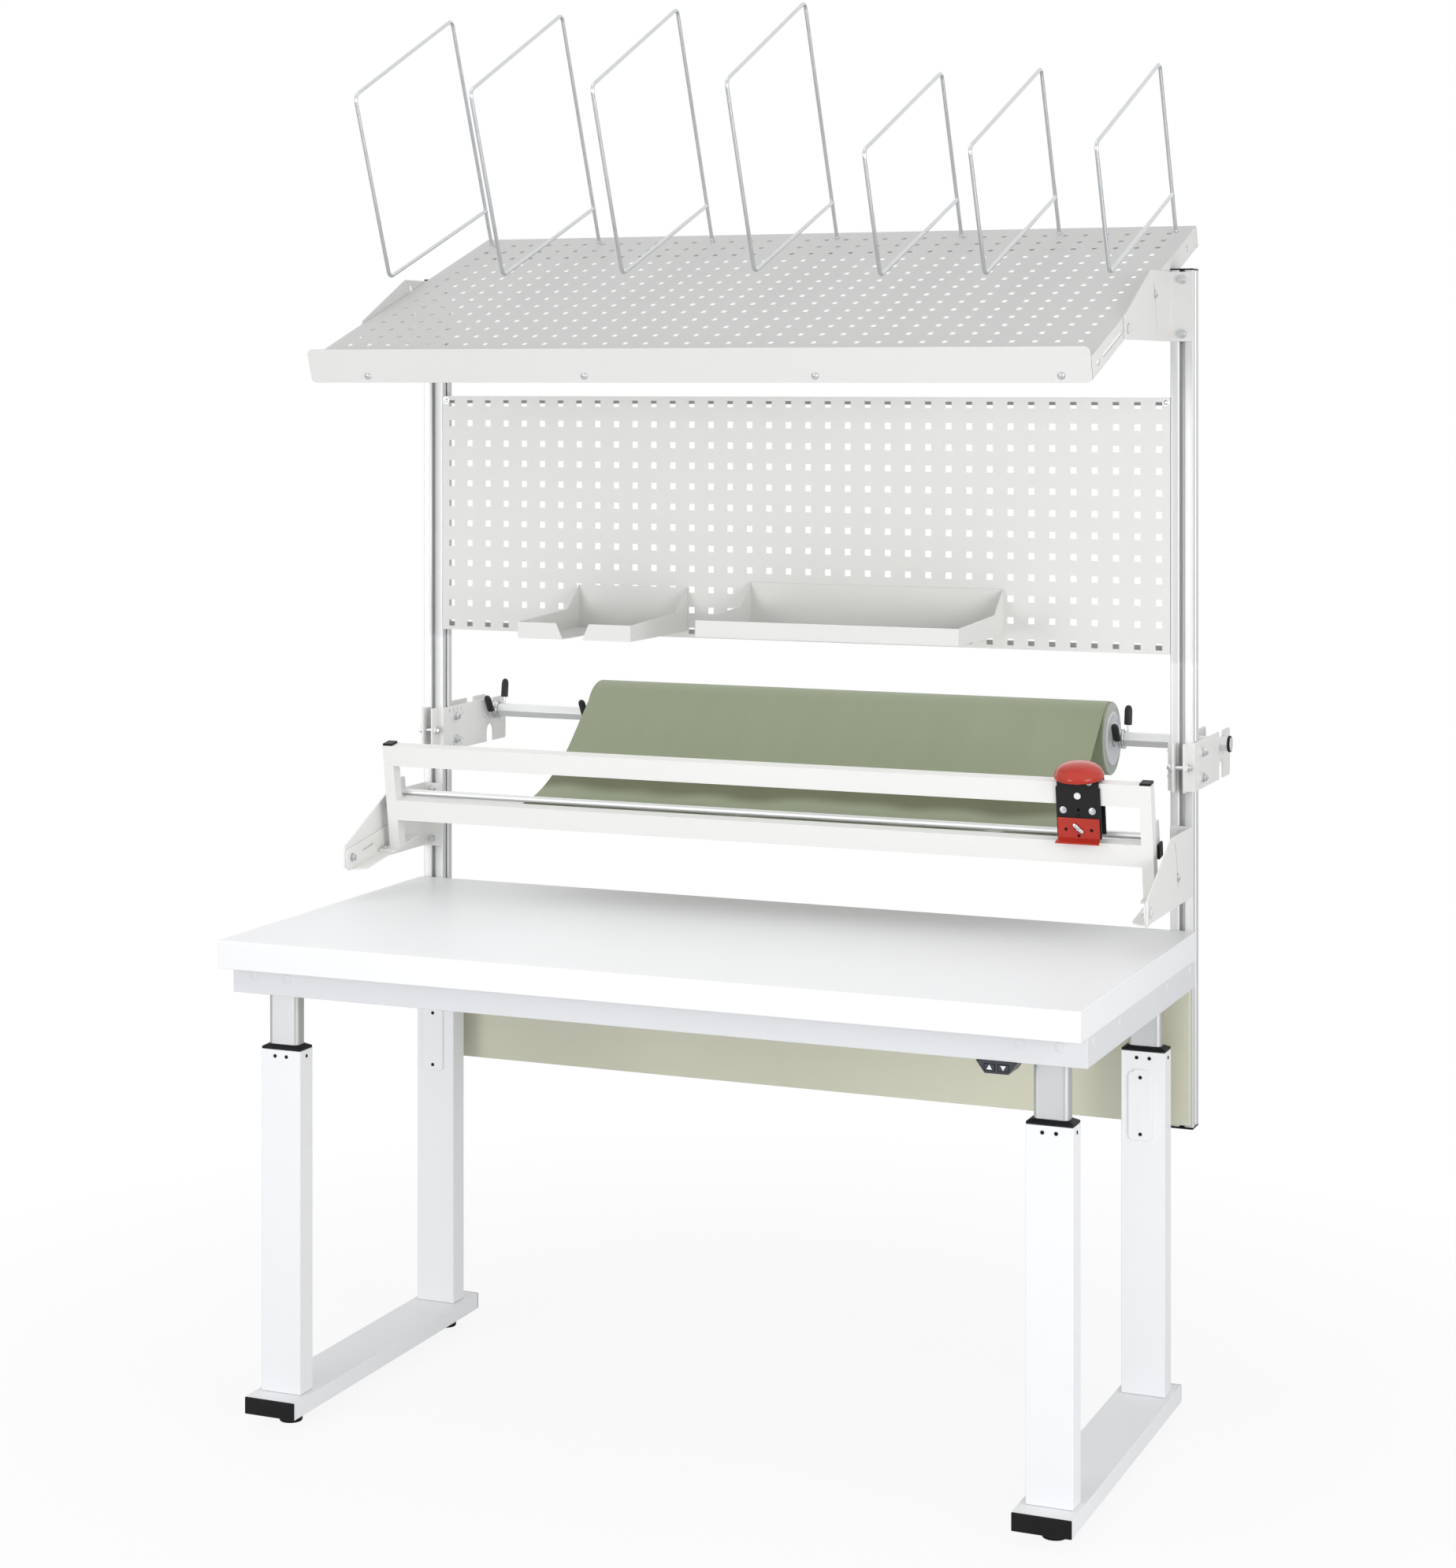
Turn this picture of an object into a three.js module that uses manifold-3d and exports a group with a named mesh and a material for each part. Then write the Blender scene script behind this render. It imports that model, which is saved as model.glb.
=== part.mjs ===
// Electrically height-adjustable packing table: worktop on four telescopic legs, two slotted
// uprights with a perforated panel, two trays, a tilting carton shelf with wire dividers, a
// roll holder with a roll of film, and a tilting film cutter.
// Millimetres, +Z up. The table stands on z = 0, its front faces -Y, and x = 0 is its middle.
// Inside the table group y = 0 is the worktop's front edge.
import * as THREE from "three";
import { mergeGeometries, mergeVertices } from "three/addons/utils/BufferGeometryUtils.js";
import Module from "manifold-3d";

const wasm = await Module();
wasm.setup();

// Clearances
const seatGap = 0.3;
const runGap = 0.5;
const cutOver = 2;

// Worktop and the frame under it
const topWidth = 1500;
const topDepth = 750;
const topThick = 48;
const topHeight = 840;
const frameInset = 2;
const frameSetback = 48;
const frameHigh = 47.7;
const frameWide = 30;
const frameSideWide = 112;
const frameWall = 3;

// Base rails and levelling feet
const railInset = 26;
const railWide = 96;
const railHigh = 29;
const railWall = 3;
const railLift = 27;
const railFront = 48;
const railShort = 50;
const footDiscRadius = 20;
const footDiscHigh = 8;
const footConeHigh = 6;
const footSpindleRadius = 5;
const footSpindleReach = 18;
const footFrontInset = 72;
const footRearInset = 40;

// Legs: outer tube, glide collar and inner column
const legInset = 35;
const legWide = 76;
const legDeep = 44;
const legWall = 3;
const legDrop = 197;
const legFrontSetback = 86;
const legRearSetback = 39;
const collarHigh = 9;
const collarSkirt = 30;
const columnWide = 57;
const columnDeep = 30;
const columnRound = 9;
const columnWall = 3;
const columnOverlap = 430;

// Drive electronics and hand switch
const controlWide = 280;
const controlDeep = 120;
const controlHigh = 36;
const switchInset = 145;
const switchTopWide = 66;
const switchFootWide = 38;
const switchHigh = 19;
const switchDeep = 54;
const switchProud = 2;
const buttonSpread = 11;
const buttonWide = 16;
const buttonHigh = 10;
const buttonDeep = 5;
const buttonProud = 1.5;

// Slotted uprights
const uprightInset = 6;
const profile = 40;
const uprightDrop = 339;
const uprightRise = 1139;
const slotMouth = 8;
const slotLip = 2.5;
const slotCavity = 17;
const slotFlank = 4;
const slotFloor = 8;
const slotDepth = 11;

// Panels
const panelSheet = 2;
const lowerPanelDrop = 333;
const lowerPanelDeep = 15;
const lowerPanelInset = 3;
const boardRise = 474.5;
const boardHigh = 444.5;
const boardFlange = 20;
const boardReturn = 14;
const boardPitch = 38;
const boardHole = 12;
const boardHoleDrop = 13.8;

// Trays
const traySheet = 2;
const trayDepth = 265;
const trayLip = 29;
const trayBack = 80;
const trayKneeShare = 0.8;
const trayKneeHigh = 38;
const largeTrayLeft = -74;
const largeTrayWidth = 480;
const largeTrayRise = 500;
const smallTrayLeft = -418;
const smallTrayWidth = 220;
const smallTrayRise = 486.5;
const notchPlace = 107;
const notchTopWide = 66;
const notchFootWide = 40;
const notchDeep = 85;

// Tilt brackets of the shelf and the cutter
const bracketSheet = 3;
const bracketDepth = 318;
const bracketHigh = 120;
const bracketTopLength = 150;
const bracketNoseHigh = 40;
const pivotSetback = 20;
const pivotLift = 18;
const pivotRadius = 4;
const boltHeadRadius = 8;
const boltHeadThick = 4;
const lockReach = 190;
const lockRadius = 3.5;
const slotLowAngle = -1.5;
const slotHighAngle = 28;
const shelfBracketDrop = 123;
const cutterBracketRise = 60;

// Carton shelf
const shelfTilt = 18.5;
const shelfAhead = 225;
const shelfBehind = 530;
const shelfSheet = 2;
const deckRise = 24;
const flangeDrop = 14;
const lipSheet = 2;
const lipRise = 19;
const lipDrop = 4;
const lipRound = 10;

// Wire dividers
const wireRadius = 3.5;
const wireBend = 14;
const dividerFootInset = 36;
const dividerPlug = 12;
const dividerLean = 3.9;
const tallDividerFall = 6;
const lowDividerFall = 3.2;
const dividerBarFall = 1;
const dividerBarRise = 70;
const tallDividerHigh = 455;
const tallDividerDeep = 423;
const lowDividerHigh = 312;
const lowDividerDeep = 457;
const tallDividerShares = [-0.965, -0.638, -0.305, 0.051];
const lowDividerShares = [0.394, 0.656, 0.959];

// Roll holder
const plateSheet = 3;
const plateReach = 270;
const plateRise = 240;
const plateHigh = 84;
const plateNose = 12;
const lugLength = 22;
const clampBoltRadius = 4;
const clampBoltLift = 22;
const shaftReach = 200;
const shaftLift = 62;
const shaftFlats = 24;
const shaftOverhang = 15;
const notchWide = 30;

// Roll of film, its core and the web drawn from it
const rollRadius = 66;
const rollLeftInset = 241;
const rollRightInset = 155;
const coreRadius = 38;
const coreWall = 4;
const corePlug = 8;
const coreFlangeRadius = 48;
const coreFlangeThick = 3;
const webThick = 1.2;
const webMargin = 8;
const webLeaveAngle = 129;
const webWrapAngle = 25;
const webWrapSteps = 5;
const webSagShares = [[0.2, 0.285], [0.41, 0.585], [0.64, 0.82], [0.85, 0.955]];

// Spring collars
const springWire = 1.6;
const springTurns = 2.43;
const springStart = 205;
const springPitch = 4.4;
const springSteps = 8;
const springSides = 5;
const springClearance = 0.6;
const frontTail = 14;
const rearTail = 30;
const tailSplay = 0.12;
const gripLength = 36;
const gripRadius = 6.5;
const gripSides = 10;
const collarGap = 19;
const bracketCollarGap = 20;

// Film cutter
const cutterLean = 9;
const cutterInset = 28;
const postAhead = 117;
const postDeep = 25;
const postWide = 20;
const postTop = 179;
const tubeWall = 2;
const topBarHigh = 38;
const lowBarRise = 38;
const lowBarHigh = 38;
const footPlateThick = 4;
const footPlateWide = 33;
const footPlateLead = 19;
const armSheet = 3;
const armNose = 20;
const armLength = 245;
const armRise = 18;
const armDrop = 22;
const armFlange = 30;
const cutRailSize = 26;
const cutRailTop = 71;
const cutGroove = 3;
const barRadius = 6;
const barBehind = 16;
const barGap = 3;
const barEndWide = 16;
const barEndDeep = 24;
const barEndHigh = 39;

// Cutter head
const headInset = 124;
const headWide = 76;
const headSheet = 4;
const headDrop = 80;
const rearDrop = 100;
const bladeHolderWide = 6;
const bladeHolderTop = 130;
const bladeHolderFoot = 98;
const bladeWide = 20;
const bladeSheet = 1.6;
const guardWide = 72;
const guardSheet = 2.5;
const guardTop = 119;
const guardFoot = 82;
const guardToe = 15;
const guardToeDrop = 4;
const knobRadius = 42;
const knobHigh = 29;
const knobRim = 9;

// Small shared counts
const roundSides = 12;
const knobSides = 24;
const rollSides = 40;

const rad = THREE.MathUtils.degToRad;

// Places that several pieces share
const topHalf = topWidth / 2;
const railLength = topDepth - railShort;
const legTop = topHeight - legDrop;
const switchPlace = topHalf - switchInset;
const frameTop = topHeight - topThick - seatGap;
const frameBottom = frameTop - frameHigh;
const legOuter = topHalf - legInset;
const uprightOuter = topHalf - uprightInset;
const uprightInner = uprightOuter - profile;
const uprightFront = topDepth + seatGap;
const uprightRear = uprightFront + profile;
const uprightBottom = topHeight - uprightDrop;
const uprightTop = topHeight + uprightRise;
const lowerPanelBottom = topHeight - lowerPanelDrop;
const boardBottom = topHeight + boardRise;
const boardTop = boardBottom + boardHigh;
const largeTrayBottom = topHeight + largeTrayRise;
const smallTrayBottom = topHeight + smallTrayRise;
const shelfBracketBottom = uprightTop - shelfBracketDrop;
const cutterBracketBottom = topHeight + cutterBracketRise;
const bracketFace = uprightFront - seatGap;
const pivotY = bracketFace - bracketDepth + pivotSetback;
const shelfPivotZ = shelfBracketBottom + pivotLift;
const cutterPivotZ = cutterBracketBottom + pivotLift;
const shelfHalf = uprightInner - runGap;
const dividerFootBehind = shelfBehind - dividerFootInset;
const deckFront = -shelfAhead;
const armOuter = uprightOuter - bracketSheet - runGap;
const armFloor = -armDrop + armSheet;
const cutterHalf = topHalf - cutterInset;
const headPlace = cutterHalf - headInset;
const postRear = postAhead + postDeep;
const plateRear = topDepth + plateReach;
const plateBottom = topHeight + plateRise;
const shaftHalf = topHalf + shaftOverhang;
const shaftBehind = topDepth + shaftReach;
const shaftZ = plateBottom + shaftLift;
const rollLeft = rollLeftInset - uprightInner;
const rollRight = uprightInner - rollRightInset;
const shaftRadius = shaftFlats / 2 / Math.cos(Math.PI / 6);

// Materials
const finish = (color, roughness, metalness) =>
  new THREE.MeshStandardMaterial({ color, roughness, metalness });
const whiteLaminate = finish("#f4f4f5", 0.35, 0);
const whiteCoat = finish("#eff1f4", 0.4, 0.1);
const greyCoat = finish("#dcddd9", 0.45, 0.1);
const beigeCoat = finish("#c0c1ac", 0.5, 0.1);
const anodised = finish("#c3c4c6", 0.35, 0.8);
const zinc = finish("#b9bec2", 0.3, 0.9);
const blackPlastic = finish("#232323", 0.5, 0);
const blackCoat = finish("#2a2a29", 0.5, 0.2);
const redCoat = finish("#bd3c2c", 0.3, 0.1);
const whitePlastic = finish("#e4e6e8", 0.45, 0);
const film = finish("#98a488", 0.55, 0);

// Solids: three.js geometry in, manifold solids for joining and cutting, three.js geometry out
function solidOf(geometry) {
  const bare = geometry.index ? geometry.toNonIndexed() : geometry.clone();
  bare.deleteAttribute("normal");
  bare.deleteAttribute("uv");
  const merged = mergeVertices(bare);
  return new wasm.Manifold(
    new wasm.Mesh({
      numProp: 3,
      vertProperties: new Float32Array(merged.attributes.position.array),
      triVerts: new Uint32Array(merged.index.array),
    }),
  );
}

function meshOf(name, solid, material) {
  const data = solid.getMesh();
  const geometry = new THREE.BufferGeometry();
  geometry.setAttribute("position", new THREE.BufferAttribute(data.vertProperties, data.numProp));
  geometry.setIndex(new THREE.BufferAttribute(data.triVerts, 1));
  geometry.computeVertexNormals();
  const mesh = new THREE.Mesh(geometry, material);
  mesh.name = name;
  return mesh;
}

const join = (solids) => solids.reduce((whole, piece) => whole.add(piece));
const cut = (solid, tools) => tools.reduce((rest, tool) => rest.subtract(tool), solid);

function block(x0, x1, y0, y1, z0, z1) {
  const geometry = new THREE.BoxGeometry(x1 - x0, y1 - y0, z1 - z0);
  geometry.translate((x0 + x1) / 2, (y0 + y1) / 2, (z0 + z1) / 2);
  return solidOf(geometry);
}

// Bases that lay a drawing on a plane: its first two axes are drawn on, the third is the depth
const xAxis = new THREE.Vector3(1, 0, 0);
const yAxis = new THREE.Vector3(0, 1, 0);
const zAxis = new THREE.Vector3(0, 0, 1);
const alongX = new THREE.Matrix4().makeBasis(yAxis, zAxis, xAxis);
const alongY = new THREE.Matrix4().makeBasis(zAxis, xAxis, yAxis);

function outline(points) {
  return new THREE.Shape(points.map(([a, b]) => new THREE.Vector2(a, b)));
}

function extruded(shape, from, to, basis, curveSegments = 4) {
  const geometry = new THREE.ExtrudeGeometry(shape, {
    depth: to - from,
    bevelEnabled: false,
    curveSegments,
  });
  geometry.translate(0, 0, from);
  if (basis) geometry.applyMatrix4(basis);
  return solidOf(geometry);
}

function roundedOutline(x0, x1, y0, y1, round) {
  const shape = new THREE.Shape();
  const quarter = Math.PI / 2;
  shape.absarc(x1 - round, y1 - round, round, 0, quarter);
  shape.absarc(x0 + round, y1 - round, round, quarter, 2 * quarter);
  shape.absarc(x0 + round, y0 + round, round, 2 * quarter, 3 * quarter);
  shape.absarc(x1 - round, y0 + round, round, 3 * quarter, 4 * quarter);
  shape.closePath();
  return shape;
}

function rod(radius, from, to, y, z, sides = roundSides) {
  const geometry = new THREE.CylinderGeometry(radius, radius, Math.abs(to - from), sides);
  geometry.rotateZ(Math.PI / 2);
  geometry.translate((from + to) / 2, y, z);
  return solidOf(geometry);
}

function standing(radius, x, y, z0, z1, sides = roundSides) {
  const geometry = new THREE.CylinderGeometry(radius, radius, z1 - z0, sides);
  geometry.rotateX(Math.PI / 2);
  geometry.translate(x, y, (z0 + z1) / 2);
  return solidOf(geometry);
}

// A surface of revolution about x, from [distance along x, radius] pairs of a closed section
function turned(section, y, z, sides) {
  const closed = [...section, section[0]].reverse();
  const geometry = new THREE.LatheGeometry(
    closed.map(([along, radius]) => new THREE.Vector2(radius, along)),
    sides,
  );
  geometry.rotateZ(-Math.PI / 2);
  geometry.translate(0, y, z);
  return solidOf(geometry);
}

// A wire of round section through the given points, closed by flat ends
function wire(points, radius, sides) {
  const rings = [];
  let side = null;
  points.forEach((point, i) => {
    const before = points[Math.max(i - 1, 0)];
    const after = points[Math.min(i + 1, points.length - 1)];
    const forward = after.clone().sub(before).normalize();
    if (!side) {
      const guess = Math.abs(forward.x) < 0.9 ? xAxis : yAxis;
      side = guess.clone();
    }
    side.addScaledVector(forward, -side.dot(forward)).normalize();
    const other = forward.clone().cross(side);
    const ring = [];
    for (let k = 0; k < sides; k += 1) {
      const turn = (2 * Math.PI * k) / sides;
      ring.push(
        point
          .clone()
          .addScaledVector(side, radius * Math.cos(turn))
          .addScaledVector(other, radius * Math.sin(turn)),
      );
    }
    rings.push(ring);
  });
  const positions = rings.flat().flatMap((p) => [p.x, p.y, p.z]);
  const index = [];
  for (let i = 0; i + 1 < rings.length; i += 1) {
    for (let k = 0; k < sides; k += 1) {
      const next = (k + 1) % sides;
      const a = i * sides + k;
      const b = i * sides + next;
      const c = (i + 1) * sides + k;
      const d = (i + 1) * sides + next;
      index.push(a, b, d, a, d, c);
    }
  }
  const last = (rings.length - 1) * sides;
  for (let k = 1; k + 1 < sides; k += 1) {
    index.push(0, k + 1, k);
    index.push(last, last + k, last + k + 1);
  }
  const geometry = new THREE.BufferGeometry();
  geometry.setAttribute("position", new THREE.Float32BufferAttribute(positions, 3));
  geometry.setIndex(index);
  return solidOf(geometry);
}

// Corner points of a bent wire in a plane x = constant, each corner rounded by a bend
function bentPath(x, corners, bend, stepsPerBend) {
  const path = [new THREE.Vector3(x, corners[0][0], corners[0][1])];
  for (let i = 1; i + 1 < corners.length; i += 1) {
    const corner = new THREE.Vector3(x, corners[i][0], corners[i][1]);
    const inward = new THREE.Vector3(x, corners[i - 1][0], corners[i - 1][1]).sub(corner);
    const outward = new THREE.Vector3(x, corners[i + 1][0], corners[i + 1][1]).sub(corner);
    const start = corner.clone().addScaledVector(inward.normalize(), bend);
    const end = corner.clone().addScaledVector(outward.normalize(), bend);
    const curve = new THREE.QuadraticBezierCurve3(start, corner, end);
    path.push(...curve.getPoints(stepsPerBend));
  }
  const end = corners[corners.length - 1];
  path.push(new THREE.Vector3(x, end[0], end[1]));
  return path;
}

const sides = [["left", -1], ["right", 1]];
const span = (sign, a, b) => (sign > 0 ? [a, b] : [-b, -a]);

const table = new THREE.Group();
const add = (name, solid, material) => table.add(meshOf(name, solid, material));

// Worktop: one board with eased top edges
function worktop() {
  const ease = topThick / 24;
  const board = outline([
    [0, topHeight - topThick],
    [topDepth, topHeight - topThick],
    [topDepth, topHeight - ease],
    [topDepth - ease, topHeight],
    [ease, topHeight],
    [0, topHeight - ease],
  ]);
  add("worktop", extruded(board, -topHalf, topHalf, alongX), whiteLaminate);
}

// Welded ring under the worktop: two long channels and the side channels the columns are
// bolted to, all open towards the middle
function underFrame() {
  const outer = topHalf - frameInset;
  const inner = outer - frameSideWide;
  const ring = outline([
    [-outer, frameSetback],
    [outer, frameSetback],
    [outer, topDepth],
    [-outer, topDepth],
  ]);
  ring.holes.push(
    new THREE.Path([
      new THREE.Vector2(-inner, frameSetback + frameWide),
      new THREE.Vector2(-inner, topDepth - frameWide),
      new THREE.Vector2(inner, topDepth - frameWide),
      new THREE.Vector2(inner, frameSetback + frameWide),
    ]),
  );
  const channel = block(
    -outer + frameWall,
    outer - frameWall,
    frameSetback + frameWall,
    topDepth - frameWall,
    frameBottom + frameWall,
    frameTop - frameWall,
  );
  add("under_frame", cut(extruded(ring, frameBottom, frameTop), [channel]), whiteCoat);
}

const feetY = {
  front: railFront + footFrontInset,
  rear: railFront + railLength - footRearInset,
};

// Base rail: rectangular tube with a hole for each foot's spindle
function baseRail(side, sign) {
  const [x0, x1] = span(sign, topHalf - railInset - railWide, topHalf - railInset);
  const outer = block(x0, x1, railFront, railFront + railLength, railLift, railLift + railHigh);
  const hollow = block(
    x0 + railWall,
    x1 - railWall,
    railFront - cutOver,
    railFront + railLength + cutOver,
    railLift + railWall,
    railLift + railHigh - railWall,
  );
  const hole = footSpindleRadius + runGap;
  const holes = Object.values(feetY).map((y) =>
    standing(hole, (x0 + x1) / 2, y, railLift - cutOver, railLift + railWall + cutOver),
  );
  add(`base_rail_${side}`, cut(outer, [hollow, ...holes]), whiteCoat);
}

// Levelling foot: disc, cone and threaded spindle
function levellingFoot(side, sign, end) {
  const x = sign * (topHalf - railInset - railWide / 2);
  const coneTop = footDiscHigh + footConeHigh;
  const section = [
    [0, 0],
    [footDiscRadius, 0],
    [footDiscRadius, footDiscHigh],
    [footSpindleRadius, coneTop],
    [footSpindleRadius, railLift + footSpindleReach],
    [0, railLift + footSpindleReach],
  ];
  const geometry = new THREE.LatheGeometry(
    section.map(([radius, along]) => new THREE.Vector2(radius, along)),
    roundSides,
  );
  geometry.rotateX(Math.PI / 2);
  geometry.translate(x, feetY[end], 0);
  add(`levelling_foot_${end}_${side}`, solidOf(geometry), blackPlastic);
}

const legY = {
  front: [legFrontSetback, legFrontSetback + legDeep],
  rear: [topDepth - legRearSetback - legDeep, topDepth - legRearSetback],
};

// One telescopic leg: outer tube on the rail, glide collar in its mouth, inner column
function leg(side, sign, end) {
  const [x0, x1] = span(sign, legOuter - legWide, legOuter);
  const [y0, y1] = legY[end];
  const x = (x0 + x1) / 2;
  const y = (y0 + y1) / 2;
  const foot = railLift + railHigh + seatGap;

  const outer = block(x0, x1, y0, y1, foot, legTop);
  const bore = block(
    x0 + legWall,
    x1 - legWall,
    y0 + legWall,
    y1 - legWall,
    foot - cutOver,
    legTop + cutOver,
  );
  add(`leg_tube_${end}_${side}`, cut(outer, [bore]), whiteCoat);

  const brim = block(x0, x1, y0, y1, legTop + seatGap, legTop + seatGap + collarHigh);
  const skirt = block(
    x0 + legWall + seatGap,
    x1 - legWall - seatGap,
    y0 + legWall + seatGap,
    y1 - legWall - seatGap,
    legTop - collarSkirt,
    legTop + collarHigh,
  );
  const wide = columnWide / 2;
  const deep = columnDeep / 2;
  const grown = roundedOutline(
    x - wide - runGap,
    x + wide + runGap,
    y - deep - runGap,
    y + deep + runGap,
    columnRound + runGap,
  );
  const passage = extruded(grown, legTop - collarSkirt - cutOver, legTop + collarHigh + 2 * cutOver);
  add(`glide_collar_${end}_${side}`, cut(join([brim, skirt]), [passage]), blackPlastic);

  const section = roundedOutline(x - wide, x + wide, y - deep, y + deep, columnRound);
  const inside = columnRound - columnWall;
  section.holes.push(
    roundedOutline(
      x - wide + columnWall,
      x + wide - columnWall,
      y - deep + columnWall,
      y + deep - columnWall,
      inside,
    ),
  );
  const column = extruded(section, legTop - columnOverlap, frameBottom - seatGap);
  add(`lift_column_${end}_${side}`, column, anodised);
}

// Control box of the four lift drives, hung under the worktop
function controlBox() {
  const y = topDepth / 2;
  const half = controlWide / 2;
  const body = block(
    -half,
    half,
    y - controlDeep / 2,
    y + controlDeep / 2,
    frameTop - controlHigh,
    frameTop,
  );
  add("control_box", body, blackPlastic);
}

// Hand switch with an up and a down button, under the front rail
function handSwitch() {
  const top = frameBottom - seatGap;
  const front = frameSetback - switchProud;
  const half = switchTopWide / 2;
  const foot = switchFootWide / 2;
  const face = outline([
    [top - switchHigh, switchPlace - foot],
    [top - switchHigh, switchPlace + foot],
    [top, switchPlace + half],
    [top, switchPlace - half],
  ]);
  const middle = top - switchHigh / 2;
  const pocketBack = front - buttonProud + buttonDeep + buttonProud;
  const pockets = [-1, 1].map((sign) => {
    const x = switchPlace + sign * buttonSpread;
    const wide = buttonWide / 2 + runGap;
    const high = buttonHigh / 2 + runGap;
    return block(x - wide, x + wide, front - cutOver, pocketBack, middle - high, middle + high);
  });
  const body = extruded(face, front, front + switchDeep, alongY);
  add("hand_switch", cut(body, pockets), blackPlastic);
  [["up_button", -1], ["down_button", 1]].forEach(([name, sign]) => {
    const x = switchPlace + sign * buttonSpread;
    const key = block(
      x - buttonWide / 2,
      x + buttonWide / 2,
      front - buttonProud,
      pocketBack - buttonProud - seatGap,
      middle - buttonHigh / 2,
      middle + buttonHigh / 2,
    );
    add(name, key, blackPlastic);
  });
}

// Square aluminium profile with a T-slot in each side
function upright(side, sign) {
  const half = profile / 2;
  const flat = [
    [-half, half],
    [-slotMouth / 2, half],
    [-slotMouth / 2, half - slotLip],
    [-slotCavity / 2, half - slotLip],
    [-slotCavity / 2, half - slotLip - slotFlank],
    [-slotFloor / 2, half - slotDepth],
  ];
  const mirrored = flat.slice(1).map(([a, b]) => [-a, b]).reverse();
  const side0 = [...flat, ...mirrored];
  const x = sign * (uprightOuter - half);
  const y = uprightFront + half;
  const points = [0, 1, 2, 3].flatMap((quarter) =>
    side0.map(([a, b]) => {
      const turned0 = new THREE.Vector2(a, b).rotateAround(
        new THREE.Vector2(0, 0),
        (-quarter * Math.PI) / 2,
      );
      return [x + turned0.x, y + turned0.y];
    }),
  );
  add(`upright_${side}`, extruded(outline(points), uprightBottom, uprightTop), anodised);
}

// Cover panel behind the rear legs: a folded pan, open to the back
function lowerPanel() {
  const half = uprightOuter - lowerPanelInset;
  const back = uprightFront - seatGap;
  const front = back - lowerPanelDeep;
  const top = frameBottom - seatGap;
  const pan = block(-half, half, front, back, lowerPanelBottom, top);
  const hollow = block(
    -half + panelSheet,
    half - panelSheet,
    front + panelSheet,
    back + cutOver,
    lowerPanelBottom + panelSheet,
    top - panelSheet,
  );
  add("lower_panel", cut(pan, [hollow]), beigeCoat);
}

// Tool panel between the uprights: a folded pan with return lips and a grid of square holes
function perforatedPanel() {
  const half = uprightInner - seatGap;
  const front = uprightFront;
  const back = front + boardFlange;
  const pan = block(-half, half, front, back, boardBottom, boardTop);
  const hollow = block(
    -half + panelSheet,
    half - panelSheet,
    front + panelSheet,
    back - panelSheet,
    boardBottom + panelSheet,
    boardTop - panelSheet,
  );
  const mouth = block(
    -half + panelSheet,
    half - panelSheet,
    back - panelSheet - cutOver,
    back + cutOver,
    boardBottom + boardReturn,
    boardTop - boardReturn,
  );
  const punches = [];
  const columns = Math.floor((2 * half - boardHole) / boardPitch) + 1;
  const rows = Math.floor((boardHigh - boardHoleDrop - boardHole) / boardPitch) + 1;
  const firstX = (-boardPitch * (columns - 1)) / 2;
  const firstZ = boardTop - boardHoleDrop;
  for (let row = 0; row < rows; row += 1) {
    for (let column = 0; column < columns; column += 1) {
      const punch = new THREE.BoxGeometry(boardHole, panelSheet * 2, boardHole);
      punch.translate(firstX + column * boardPitch, front + panelSheet / 2, firstZ - row * boardPitch);
      punches.push(punch);
    }
  }
  const holes = solidOf(mergeGeometries(punches));
  add("perforated_panel", cut(pan, [hollow, mouth, holes]), greyCoat);
}

// Hook-on tray: floor, front lip, rising side walls and a back plate
function tray(name, left, width, bottom, notched) {
  const back = uprightFront - seatGap;
  const front = back - trayDepth;
  const right = left + width;
  const wall = outline([
    [front, bottom],
    [back, bottom],
    [back, bottom + trayBack],
    [back - traySheet, bottom + trayBack],
    [front + trayDepth * trayKneeShare, bottom + trayKneeHigh],
    [front, bottom + trayLip],
  ]);
  const pieces = [
    block(left, right, front, back, bottom, bottom + traySheet),
    block(left, right, front, front + traySheet, bottom, bottom + trayLip),
    block(left, right, back - traySheet, back, bottom, bottom + trayBack),
    extruded(wall, left, left + traySheet, alongX),
    extruded(wall, right - traySheet, right, alongX),
  ];
  let body = join(pieces);
  if (notched) {
    const x = left + notchPlace;
    const mouth = outline([
      [bottom - cutOver, x - notchFootWide / 2],
      [bottom - cutOver, x + notchFootWide / 2],
      [bottom + traySheet, x + notchFootWide / 2],
      [bottom + trayLip + cutOver, x + notchTopWide / 2],
      [bottom + trayLip + cutOver, x - notchTopWide / 2],
      [bottom + traySheet, x - notchFootWide / 2],
    ]);
    const half = notchFootWide / 2;
    body = cut(body, [
      extruded(mouth, front - cutOver, front + traySheet + cutOver, alongY),
      block(x - half, x + half, front, front + notchDeep, bottom - cutOver, bottom + 2 * traySheet),
    ]);
  }
  add(name, body, greyCoat);
}

// Curved slot about a pivot, drawn on a y-z plane
function arcSlot(y, z, reach, low, high, half) {
  const slot = new THREE.Path();
  const start = rad(low);
  const end = rad(high);
  const at = (angle) => [y + reach * Math.cos(angle), z + reach * Math.sin(angle)];
  const [endY, endZ] = at(end);
  const [startY, startZ] = at(start);
  slot.absarc(y, z, reach + half, start, end);
  slot.absarc(endY, endZ, half, end, end + Math.PI);
  slot.absarc(y, z, reach - half, end, start, true);
  slot.absarc(startY, startZ, half, start + Math.PI, start + 2 * Math.PI);
  return slot;
}

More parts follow.
